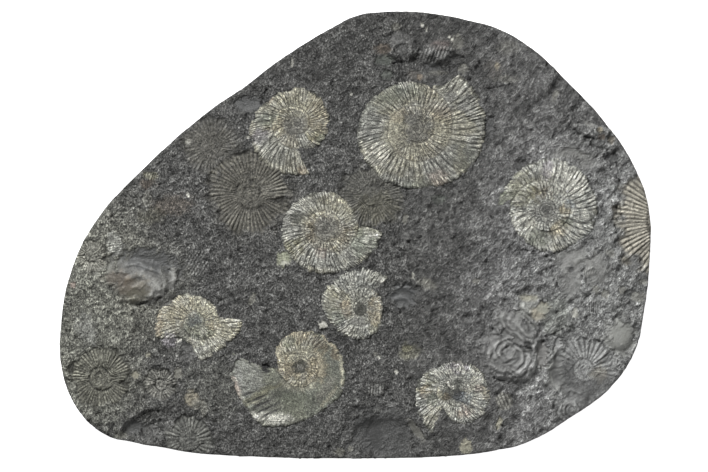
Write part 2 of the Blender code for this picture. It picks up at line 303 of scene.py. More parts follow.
def rim_radius(coil, growth):
    """How far the rim of the coil reaches from its middle at a growth angle, in mm."""
    angles, radii = (np.array(column, float) for column in zip(*coil.rim))
    shrink = math.log(radii[1] / radii[0]) / (angles[1] - angles[0])
    soft = np.zeros_like(growth)
    for step in (-2, -1, 0, 1, 2):
        place = growth + step * RIM_SOFTNESS
        inward = np.exp(shrink * np.minimum(place - angles[0], 0.0))
        soft += np.interp(place, angles, radii) * inward / 5.0
    ragged = mix(INNER_RAGGED, RIM_RAGGED, last_turn(coil, growth, after=30.0))
    ragged = ragged * smooth(soft, 2.0, 12.0)
    return soft + ragged * waves(growth, np.zeros_like(growth), RIM_WAVE, 4, seed=coil.x)


def band_width(coil, growth):
    return rim_radius(coil, growth) - rim_radius(coil, growth - TURN)


def band_place(coil, growth, across):
    """x, y and true growth angle of points on the band; the broken mouth bends the last part."""
    marks, ends = zip(*coil.mouth)
    shift = np.interp(across, marks, ends) - mouth_end(coil)
    growth = growth + shift * smooth(growth, mouth_end(coil) - MOUTH_BLEND, mouth_end(coil))
    radius = mix(rim_radius(coil, growth - TURN), rim_radius(coil, growth), across)
    angle = np.radians(coil.hand * growth)
    return coil.x + radius * np.cos(angle), coil.y + radius * np.sin(angle), growth


def coil_outline(coil):
    """The outline of the whole coil as points in order: its last turn's rim, then its mouth."""
    end = mouth_end(coil)
    along = np.linspace(end - TURN, end, 721)
    rim = band_place(coil, along, np.ones_like(along))
    down = np.linspace(1.0, 0.0, 21)[1:-1]
    mouth = band_place(coil, np.full_like(down, end), down)
    return np.concatenate([np.column_stack(rim[:2]), np.column_stack(mouth[:2])])


def coil_place(coil, x, y):
    """Growth angle and place across the band of any points; across is above 1 outside the coil."""
    radius = np.hypot(x - coil.x, y - coil.y)
    angle = np.degrees(np.arctan2(y - coil.y, x - coil.x)) * coil.hand
    end = max(place for _, place in coil.mouth)
    growth = end - np.mod(end - angle, TURN)
    outer = rim_radius(coil, growth)
    for _ in range(MOST_TURNS):
        inner = rim_radius(coil, growth - TURN)
        deeper = radius < inner
        growth = np.where(deeper, growth - TURN, growth)
        outer = np.where(deeper, inner, outer)
    inner = rim_radius(coil, growth - TURN)
    return growth, (radius - inner) / np.maximum(outer - inner, 0.01)


# %% [markdown]
# ## Ribs that fork
# The ribs of these shells start single at the inner seam and fork in two near the rim, so the outermost
# turn has twice as many ribs at its edge. A texture could paint that, but the light has to catch real
# ridges, so the fork is in the shape: two ridges that lie on each other and part towards the rim. No
# two ribs of an old shell are alike, so each branch gets its own strength and its own small gaps.

# %% Rib crests
FORK_START, FORK_END = 0.25, 0.75
SPREAD = 0.25  # how far each branch moves aside, as a share of the rib spacing
PLAIN_REACH, FORKED_REACH = 0.5, 0.25  # from a rib's crest to the middle of the groove beside it
PLAIN_GROOVE, FORKED_GROOVE = 0.3, 0.17  # from the middle of a groove to where the rib is full
SWAY, SWAY_LENGTH = 1.1, 26.0  # how far the ribs crowd together or part along the shell
WOBBLE = 0.13  # how far a single rib wavers, as a share of the spacing
WEAKEST_RIB, WEAKEST_GAP = 0.65, 0.5


def rib_crests(coil, growth, across):
    """0 in a groove and up to 1 on a rib."""
    spacing = TURN / coil.ribs
    zero = np.zeros_like(growth)
    sway = waves(growth, zero, SWAY_LENGTH, 2, seed=coil.y) * SWAY
    phase = growth / spacing + sway - coil.lean * across * across
    phase = phase + WOBBLE * waves(phase, across * 2.0, 2.2, 4, seed=3.0 + coil.x)
    parting = smooth(across, FORK_START, FORK_END) * last_turn(coil, growth, before=4.0, after=4.0)
    reach = mix(PLAIN_REACH, FORKED_REACH, parting)
    groove = mix(PLAIN_GROOVE, FORKED_GROOVE, parting)
    crests = zero
    for branch, aside in enumerate((-SPREAD, SPREAD)):
        place = phase - aside * parting
        number = np.round(place)
        strength = mix(WEAKEST_RIB, 1.0, scatter(number, branch + coil.x))
        ridge = smooth(np.abs(place - number), reach, reach - groove) * strength
        crests = np.maximum(crests, ridge)
    gaps = smooth(waves(phase, across * 5.0, 0.7, 4, seed=coil.y + 9.0), -0.45, 0.2)
    return crests * mix(WEAKEST_GAP, 1.0, gaps)


# %% [markdown]
# ## The height of a shell
# Pressed shells keep only a millimetre or two of relief: each turn of the band is a low arch, with a
# thin groove at its seams and the ribs on its back. Where the shell is worn or has flaked off, the
# patches flatten the ribs and let the surface drop.

# %% Shell relief
BEDDING_PLANE = 18.0  # height of the face that the shells lie on
SEAM_HEIGHT, RIM_HEIGHT, ARCH_HEIGHT = 0.72, 0.42, 0.5
RIB_HEIGHT, RIB_STEEPNESS = 0.95, 0.2
ARCH_WIDTH = 9.0  # mm; a narrower band has a lower arch
CRUSH, CRUSH_LENGTH = 0.5, 9.0  # mm; wide dents of the pressed shell, which fade out at its middle
PITTING, PIT_LENGTH = 0.22, 1.5  # mm; small pits
SUNK_HEIGHT, SUNK_SHARE = 0.15, 0.8  # mm over the bedding plane at the broken mouth


def arch_of(across):
    """1 in the middle of the band and 0 at both of its edges."""
    return np.clip(4.0 * across * (1.0 - across), 0.0, 1.0)


def shell_relief(coil, growth, across, x, y, patches):
    """Height over the bedding plane in mm, with the rib crests and what is left of them."""
    outermost = last_turn(coil, growth)
    radius = np.hypot(x - coil.x, y - coil.y)
    narrow = np.minimum(band_width(coil, growth) / ARCH_WIDTH, 1.0)
    height = SEAM_HEIGHT + ARCH_HEIGHT * narrow * arch_of(across)
    height = mix(height, RIM_HEIGHT, outermost * smooth(across, 0.84, 1.0))
    inner_end = smooth(across, 1.0, 0.88)
    rim_end = mix(1.0, 0.45, smooth(across, 0.9, 1.0))
    envelope = smooth(across, 0.0, 0.1) * mix(inner_end, rim_end, outermost)
    crests = rib_crests(coil, growth, across)
    left, rise = kept(patches, x, y)
    left = left * ribbed(coil, growth)
    rib_height = np.minimum(RIB_HEIGHT, RIB_STEEPNESS * radius * math.tau / coil.ribs)
    height += crests * rib_height * envelope * np.minimum(left, 1.2)
    height += CRUSH * waves(x, y, CRUSH_LENGTH, 2, seed=1.0) * smooth(radius, 2.0, 15.0)
    height += PITTING * waves(x, y, PIT_LENGTH, 3, seed=2.0) * smooth(radius, 0.0, 8.0)
    sunk = smooth(growth, mouth_end(coil) - MOUTH_SINK, mouth_end(coil)) * outermost
    left = left * mix(0.35, 1.0, envelope)
    return mix(height + rise, SUNK_HEIGHT, SUNK_SHARE * sunk), crests, left


# %% [markdown]
# ## Rolling up a band
# Now a shell can be built. A flat grid is the unrolled band: its columns run along the growth angle,
# twelve to a rib, and its rows run across. Every point of the grid is moved to its place on the spiral,
# and because each turn has a whole number of columns, the rim of one turn meets the seam of the next
# point for point, so removing the doubles closes the seams. Then the open middle is filled ring by
# ring, the outer edge is pulled down into the stone and the underside is closed.

# %% Build one shell
STEPS_PER_RIB = 12
ROWS = 16
HUB_REACH = 4.0  # mm; further in, rings fill the middle
HUB_RINGS = (0.8, 0.6, 0.4, 0.2)
WELD = 0.002  # mm
SEAT = 15.8  # height of the shells' flat undersides
SCALLOP = 0.3  # mm that a rib's end stands out at the rim


def first_growth(coil):
    """The growth angle where the modelled band starts, and how many steps before the mouth it is."""
    end = mouth_end(coil)
    back = np.arange(end, end - 9.0 * TURN, -TURN / (coil.ribs * STEPS_PER_RIB))
    reached = np.nonzero(rim_radius(coil, back) < HUB_REACH)[0]
    return back[reached[0]], int(reached[0])


def set_places(verts, x, y, z):
    for vert, a, b, c in zip(verts, x.tolist(), y.tolist(), z.tolist()):
        vert.co = (a * MM, b * MM, c * MM)


def verts_of(geometry):
    return [item for item in geometry if isinstance(item, bmesh.types.BMVert)]


def edges_of(geometry):
    return [item for item in geometry if isinstance(item, bmesh.types.BMEdge)]


def open_ones(edges):
    return [edge for edge in edges if edge.is_boundary]


def lay_band(bm, coil, patches):
    """The rolled-up band, with its growth and place across kept on each corner for the material."""
    start, steps = first_growth(coil)
    bmesh.ops.create_grid(bm, x_segments=steps, y_segments=ROWS, size=0.5)
    flat = np.array([vert.co[:2] for vert in bm.verts]) + 0.5
    across = np.round(flat[:, 1] * ROWS) / ROWS
    to_mouth = 1.0 - np.round(flat[:, 0] * steps) / steps
    nominal = mouth_end(coil) - to_mouth * (mouth_end(coil) - start)
    x, y, growth = band_place(coil, nominal, across)
    height, crests, _ = shell_relief(coil, growth, across, x, y, patches)
    out = SCALLOP * (crests - 0.5) * last_turn(coil, growth) * smooth(across, 0.9, 1.0)
    angle = np.radians(coil.hand * growth)
    uv = bm.loops.layers.uv.new("growth")
    bm.verts.index_update()
    for face in bm.faces:
        for loop in face.loops:
            index = loop.vert.index
            loop[uv].uv = (growth[index] / TURN * coil.ribs, across[index])
    set_places(bm.verts, x + out * np.cos(angle), y + out * np.sin(angle), BEDDING_PLANE + height)
    bmesh.ops.remove_doubles(bm, verts=bm.verts, dist=WELD * MM)


def linked_edges(start, allowed):
    """The edges of the allowed set that hang together with the start edge."""
    found, front = {start}, [start]
    while front:
        near = {edge for vert in front.pop().verts for edge in vert.link_edges if edge in allowed}
        front.extend(near - found)
        found |= near
    return found


def fill_hub(bm, coil, patches, edges):
    """Rings of faces towards the middle, which carry the first tight turns as relief."""
    centre = Vector((coil.x * MM, coil.y * MM, 0.0))
    reach = 1.0
    for ring in HUB_RINGS:
        made = bmesh.ops.extrude_edge_only(bm, edges=edges)["geom"]
        verts, edges = verts_of(made), open_ones(edges_of(made))
        for vert in verts:
            vert.co = centre + (vert.co - centre) * (ring / reach)
        reach = ring
        x, y = (np.array([vert.co[axis] / MM for vert in verts]) for axis in (0, 1))
        growth, across = coil_place(coil, x, y)
        height, _, _ = shell_relief(coil, growth, np.clip(across, 0.0, 1.0), x, y, patches)
        set_places(verts, x, y, BEDDING_PLANE + height)
    core = bmesh.ops.contextual_create(bm, geom=edges)["faces"]
    tip = bmesh.ops.poke(bm, faces=core)["verts"][0]
    tip.co = (coil.x * MM, coil.y * MM, (BEDDING_PLANE + SEAM_HEIGHT) * MM)


def close_underneath(bm, edges):
    wall = bmesh.ops.extrude_edge_only(bm, edges=edges)["geom"]
    for vert in verts_of(wall):
        vert.co.z = SEAT * MM
    bmesh.ops.contextual_create(bm, geom=open_ones(bm.edges))


def finished_object(name, bm):
    bmesh.ops.recalc_face_normals(bm, faces=bm.faces)
    mesh = bpy.data.meshes.new(name)
    bm.to_mesh(mesh)
    bm.free()
    mesh.shade_smooth()
    obj = bpy.data.objects.new(name, mesh)
    bpy.context.scene.collection.objects.link(obj)
    return obj


def farthest_edge(edges, middle):
    return max(edges, key=lambda edge: max((vert.co.xy - middle).length for vert in edge.verts))


def shell_object(coil, patches):
    bm = bmesh.new()
    lay_band(bm, coil, patches)
    open_edges = set(open_ones(bm.edges))
    outermost = farthest_edge(open_edges, Vector((coil.x * MM, coil.y * MM)))
    rim = linked_edges(outermost, open_edges)
    fill_hub(bm, coil, patches, list(open_edges - rim))
    close_underneath(bm, list(rim))
    return finished_object(coil.name.replace("ammonite", "pressed_shell"), bm)


# %% [markdown]
# ## The colour of a shell
# The shell is thin, so its colour comes from what the sea floor made of it: cream and tan where old
# shell is left, silver where its surface shines, dark where mud lies. The ribs' tops get a painted
# highlight and the grooves painted shade, together with the dirt that they hold, so the height that
# shaped the ribs also lights them. First comes the colour itself, then one factor for light and dark,
# which holds the painted highlights and shade as well as the shell's own light and dark spots. The
# result is kept as one colour for each point of the mesh.

# %% Paint one shell
# painted shade in the grooves with their dirt, painted highlight on the ribs' tops, and the plain factor
# where the ribs are worn away
GROOVE_SHADE, CREST_LIGHT, WORN_LIGHT = 0.3, 1.3, 0.9
# painted shade along the groove of each seam, a painted highlight on the strip beside it, and a painted
# highlight along the rim of the last turn
SEAM_SHADE, SEAM_LINE = 0.45, 0.3  # the dark line at a seam, and its half width in mm
SEAM_GLINT, SEAM_STRIP, SEAM_STRIP_WIDTH = 0.7, 0.9, 0.45  # the pale line beside it
RIM_GLINT, RIM_LINE, RIM_LINE_WIDTH = 1.2, 2.1, 0.6  # the worn, pale rim, just inside the stone's edge
DISC_SHADE, DISC_EDGE = 0.78, 0.4  # the darker disc in the middle of a shell
MOTTLE, WORN_MOTTLE, MOTTLE_GRAIN = 1.1, 0.55, 1.3  # small light and dark spots, and their size in mm
BLOTCH, BLOTCH_GRAIN = 0.3, 6.5  # wider light and dark parts
MUD_GRAIN, MUD_COVER = 5.5, 0.75
COLOUR_GRAIN, WEAR_GRAIN = 13.0, 8.0
UNDERSIDE_SHADE = 0.5


def mesh_points(obj):
    points = np.empty(len(obj.data.vertices) * 3, np.float32)
    obj.data.vertices.foreach_get("co", points)
    return points.reshape(-1, 3).astype(float) / MM


def write_colours(obj, colours):
    layer = obj.data.color_attributes.new(name="tint", type="FLOAT_COLOR", domain="POINT")
    rgba = np.ones((len(colours), 4), np.float32)
    rgba[:, :3] = np.clip(colours, 0.0, 1.0)
    layer.data.foreach_set("color", rgba.ravel())


def write_share(obj, name, values):
    layer = obj.data.attributes.new(name, "FLOAT", "POINT")
    layer.data.foreach_set("value", values.astype(np.float32))


def rib_light(crests, left):
    """Painted highlight on the ribs' tops and painted shade in their dirty grooves, as a factor on the
    colour; worn places keep less of both.
    """
    return mix(WORN_LIGHT, mix(GROOVE_SHADE, CREST_LIGHT, crests), left)


def bump_line(value, middle, width):
    return np.exp(-(((value - middle) / width) ** 2))


def shell_colours(coil, patches, finish, x, y, growth):
    """Silver and cream parts, one colour for the inner and one for the outer turns, then the patches."""
    blend = smooth(waves(x, y, COLOUR_GRAIN, 3, seed=coil.x) + finish.warmth, -0.25, 0.3)
    colours = mix(PALETTE["silver"], PALETTE["cream"], blend[:, None])
    split = mouth_end(coil) - TURN if finish.split is None else finish.split
    inner = smooth(growth, split + 8.0, split - 8.0)
    turn_colour = mix(PALETTE[finish.outer], PALETTE[finish.inner], inner[:, None])
    colours = mix(colours, turn_colour, finish.cover)
    paint(colours, patches, x, y)
    return colours


def line_light(coil, growth, across, broken):
    """Painted shade in the seams' grooves, and painted highlights beside them and along the rim, as a
    factor.
    """
    outermost = last_turn(coil, growth)
    wide = band_width(coil, growth)
    to_rim = (1.0 - across) * wide
    seam = np.minimum(across * wide, to_rim + 20.0 * outermost)  # the rim is no seam
    light = 1.0 + SEAM_GLINT * bump_line(seam, SEAM_STRIP, SEAM_STRIP_WIDTH) * broken
    light *= 1.0 - SEAM_SHADE * bump_line(seam, 0.0, SEAM_LINE)
    return light * (1.0 + RIM_GLINT * bump_line(to_rim, RIM_LINE, RIM_LINE_WIDTH) * outermost * broken)


def paint_shell(obj, coil, patches, finish):
    x, y, z = mesh_points(obj).T
    growth, across = coil_place(coil, x, y)
    across = np.clip(across, 0.0, 1.0)
    _, crests, left = shell_relief(coil, growth, across, x, y, patches)
    radius = np.hypot(x - coil.x, y - coil.y)
    left = left * mix(0.3, 1.0, smooth(radius, 0.5 * finish.disc, 1.15 * finish.disc))
    left = left * mix(0.5, 1.0, smooth(waves(x, y, WEAR_GRAIN, 3, seed=coil.x + 4.0), -0.4, 0.0))
    left = np.clip(left, 0.0, 1.0)
    outermost = last_turn(coil, growth)
    mud = waves(x, y, MUD_GRAIN, 4, seed=8.0 + coil.y) + 2.6 * (across - 1.0) * outermost
    mud = smooth(mud, 0.02, 0.16) * outermost
    colours = shell_colours(coil, patches, finish, x, y, growth)
    colours = mix(colours, PALETTE["dark"], (MUD_COVER * mud)[:, None])
    broken = smooth(waves(x, y, 3.0, 3, seed=12.0), -0.25, 0.25)
    light = rib_light(crests, left) * line_light(coil, growth, across, broken)
    disc = radius + 0.5 * waves(x, y, 4.0, 2, seed=coil.x)
    light *= mix(DISC_SHADE, 1.0, smooth(disc, finish.disc - DISC_EDGE, finish.disc + DISC_EDGE))
    mottle = MOTTLE * mix(WORN_MOTTLE, 1.0, left)
    light *= np.exp(mottle * waves(x, y, MOTTLE_GRAIN, 4, seed=7.0))
    light *= np.exp(BLOTCH * waves(x, y, BLOTCH_GRAIN, 3, seed=15.0 + coil.x))
    light = np.where(z < BEDDING_PLANE - 0.5, UNDERSIDE_SHADE, light)
    colours *= (finish.tone * light)[:, None]
    # a painted highlight: the ribs' tops are mixed towards white where they catch the light
    shiny = smooth(waves(x, y, 4.5, 4, seed=9.0), -0.2, 0.35)
    glint = finish.glint * crests * left * shiny
    colours = mix(colours, PALETTE["white"], (glint * (1.0 - 0.8 * mud))[:, None])
    write_colours(obj, colours)
    write_share(obj, "worn", 1.0 - left)


# %% [markdown]
# ## Materials of stone
# Both finishes take their main colour from the mesh and add what is too fine for it: grains, flecks
# and tiny pits, as noise at a few sizes. A noise lies around one half, so half is taken away, and the
# rest counts doublings of the light. The bump gives the same grains a little height, so that they
# catch the light too.

# %% Material tools
def add_node(tree, kind, inputs=None, **settings):
    node = tree.nodes.new(kind)
    for name, value in settings.items():
        setattr(node, name, value)
    for name, value in (inputs or {}).items():
        node.inputs[name].default_value = value
    return node


def grain_noise(tree, coordinates, size, detail, stretch=(1.0, 1.0, 1.0), turn=0.0):
    """A noise whose grain has the given size in mm."""
    mapping = add_node(tree, "ShaderNodeMapping", vector_type="TEXTURE")
    mapping.inputs["Scale"].default_value = [share * size * MM for share in stretch]
    mapping.inputs["Rotation"].default_value = (0.0, 0.0, math.radians(turn))
    tree.links.new(coordinates, mapping.inputs["Vector"])
    settings = {"Scale": 1.0, "Detail": detail, "Roughness": 0.6}
    noise_node = add_node(tree, "ShaderNodeTexNoise", settings)
    tree.links.new(mapping.outputs["Vector"], noise_node.inputs["Vector"])
    return noise_node.outputs["Fac"]


def arithmetic(tree, operation, *values):
    """A Math node; each value is a number or another node's output."""
    node = add_node(tree, "ShaderNodeMath", operation=operation)
    for socket, value in zip(node.inputs, values):
        if isinstance(value, float):
            socket.default_value = value
        else:
            tree.links.new(value, socket)
    return node.outputs["Value"]


def doublings(tree, value, strength):
    """A noise around one half as a number of doublings around 0."""
    return arithmetic(tree, "MULTIPLY_ADD", value, strength, -0.5 * strength)


def centred(tree, value):
    return arithmetic(tree, "SUBTRACT", value, 0.5)


def new_material(name, roughness):
    material = bpy.data.materials.new(name)
    material.use_nodes = True
    shader = material.node_tree.nodes["Principled BSDF"]
    shader.inputs["Roughness"].default_value = roughness
    return material, material.node_tree, shader


def scaled_tint(tree, shader, factor):
    """The mesh's own colour times the factor goes to the shader."""
    tint = add_node(tree, "ShaderNodeAttribute", attribute_name="tint")
    scaled = add_node(tree, "ShaderNodeVectorMath", operation="SCALE")
    tree.links.new(tint.outputs["Color"], scaled.inputs[0])
    tree.links.new(factor, scaled.inputs["Scale"])
    tree.links.new(scaled.outputs["Vector"], shader.inputs["Base Color"])


def add_bump(tree, shader, height, depth):
    bump = add_node(tree, "ShaderNodeBump", {"Strength": 1.0, "Distance": depth * MM})
    tree.links.new(height, bump.inputs["Height"])
    tree.links.new(bump.outputs["Normal"], shader.inputs["Normal"])


# %% [markdown]
# ## The finish of a shell
# Old shell is a thin, slightly glossy skin with fine grains in it. Two noises are mixed: one lies on
# the plate, and one is drawn out along the ribs by way of the growth angle kept in the UV map. Where
# the shell is worn the second one fades, since the ribs that it follows are gone there too.

# %% A shell's grains
SHELL_GRAIN, SHELL_GRAIN_DEPTH = 0.75, 1.1  # mm
STREAK_SHAPE = (0.16, 0.3, 1.0)  # as shares of the rib spacing and of the band's width
WORN_STREAKS = 0.7  # how much of the streaks wear takes away


def object_places(tree):
    return add_node(tree, "ShaderNodeTexCoord").outputs["Object"]


def mesh_share(tree, name):
    return add_node(tree, "ShaderNodeAttribute", attribute_name=name).outputs["Fac"]


def shell_material(finish):
    material, tree, shader = new_material(finish.slot, finish.roughness)
    along = add_node(tree, "ShaderNodeUVMap", uv_map="growth").outputs["UV"]
    fine = grain_noise(tree, object_places(tree), SHELL_GRAIN, 3.0)
    streaks = grain_noise(tree, along, 1.0 / MM, 3.0, stretch=STREAK_SHAPE)
    fresh = arithmetic(tree, "MULTIPLY_ADD", mesh_share(tree, "worn"), -WORN_STREAKS, 1.0)
    streaks = arithmetic(tree, "MULTIPLY", centred(tree, streaks), fresh)
    both = arithmetic(tree, "ADD", centred(tree, fine), streaks)
    light = arithmetic(tree, "POWER", 2.0, arithmetic(tree, "MULTIPLY", both, finish.grain))
    scaled_tint(tree, shader, light)
    add_bump(tree, shader, both, SHELL_GRAIN_DEPTH)
    return material


# %% [markdown]
# ## What each shell has kept
# No two of the eight shells look alike: one is cream above and grey below, one has lost its ribs, one
# is broken in two. Each gets its own list of patches, read off the stone one by one: what is left of
# the shell and its colour there, where it is stained, and where it has flaked off.

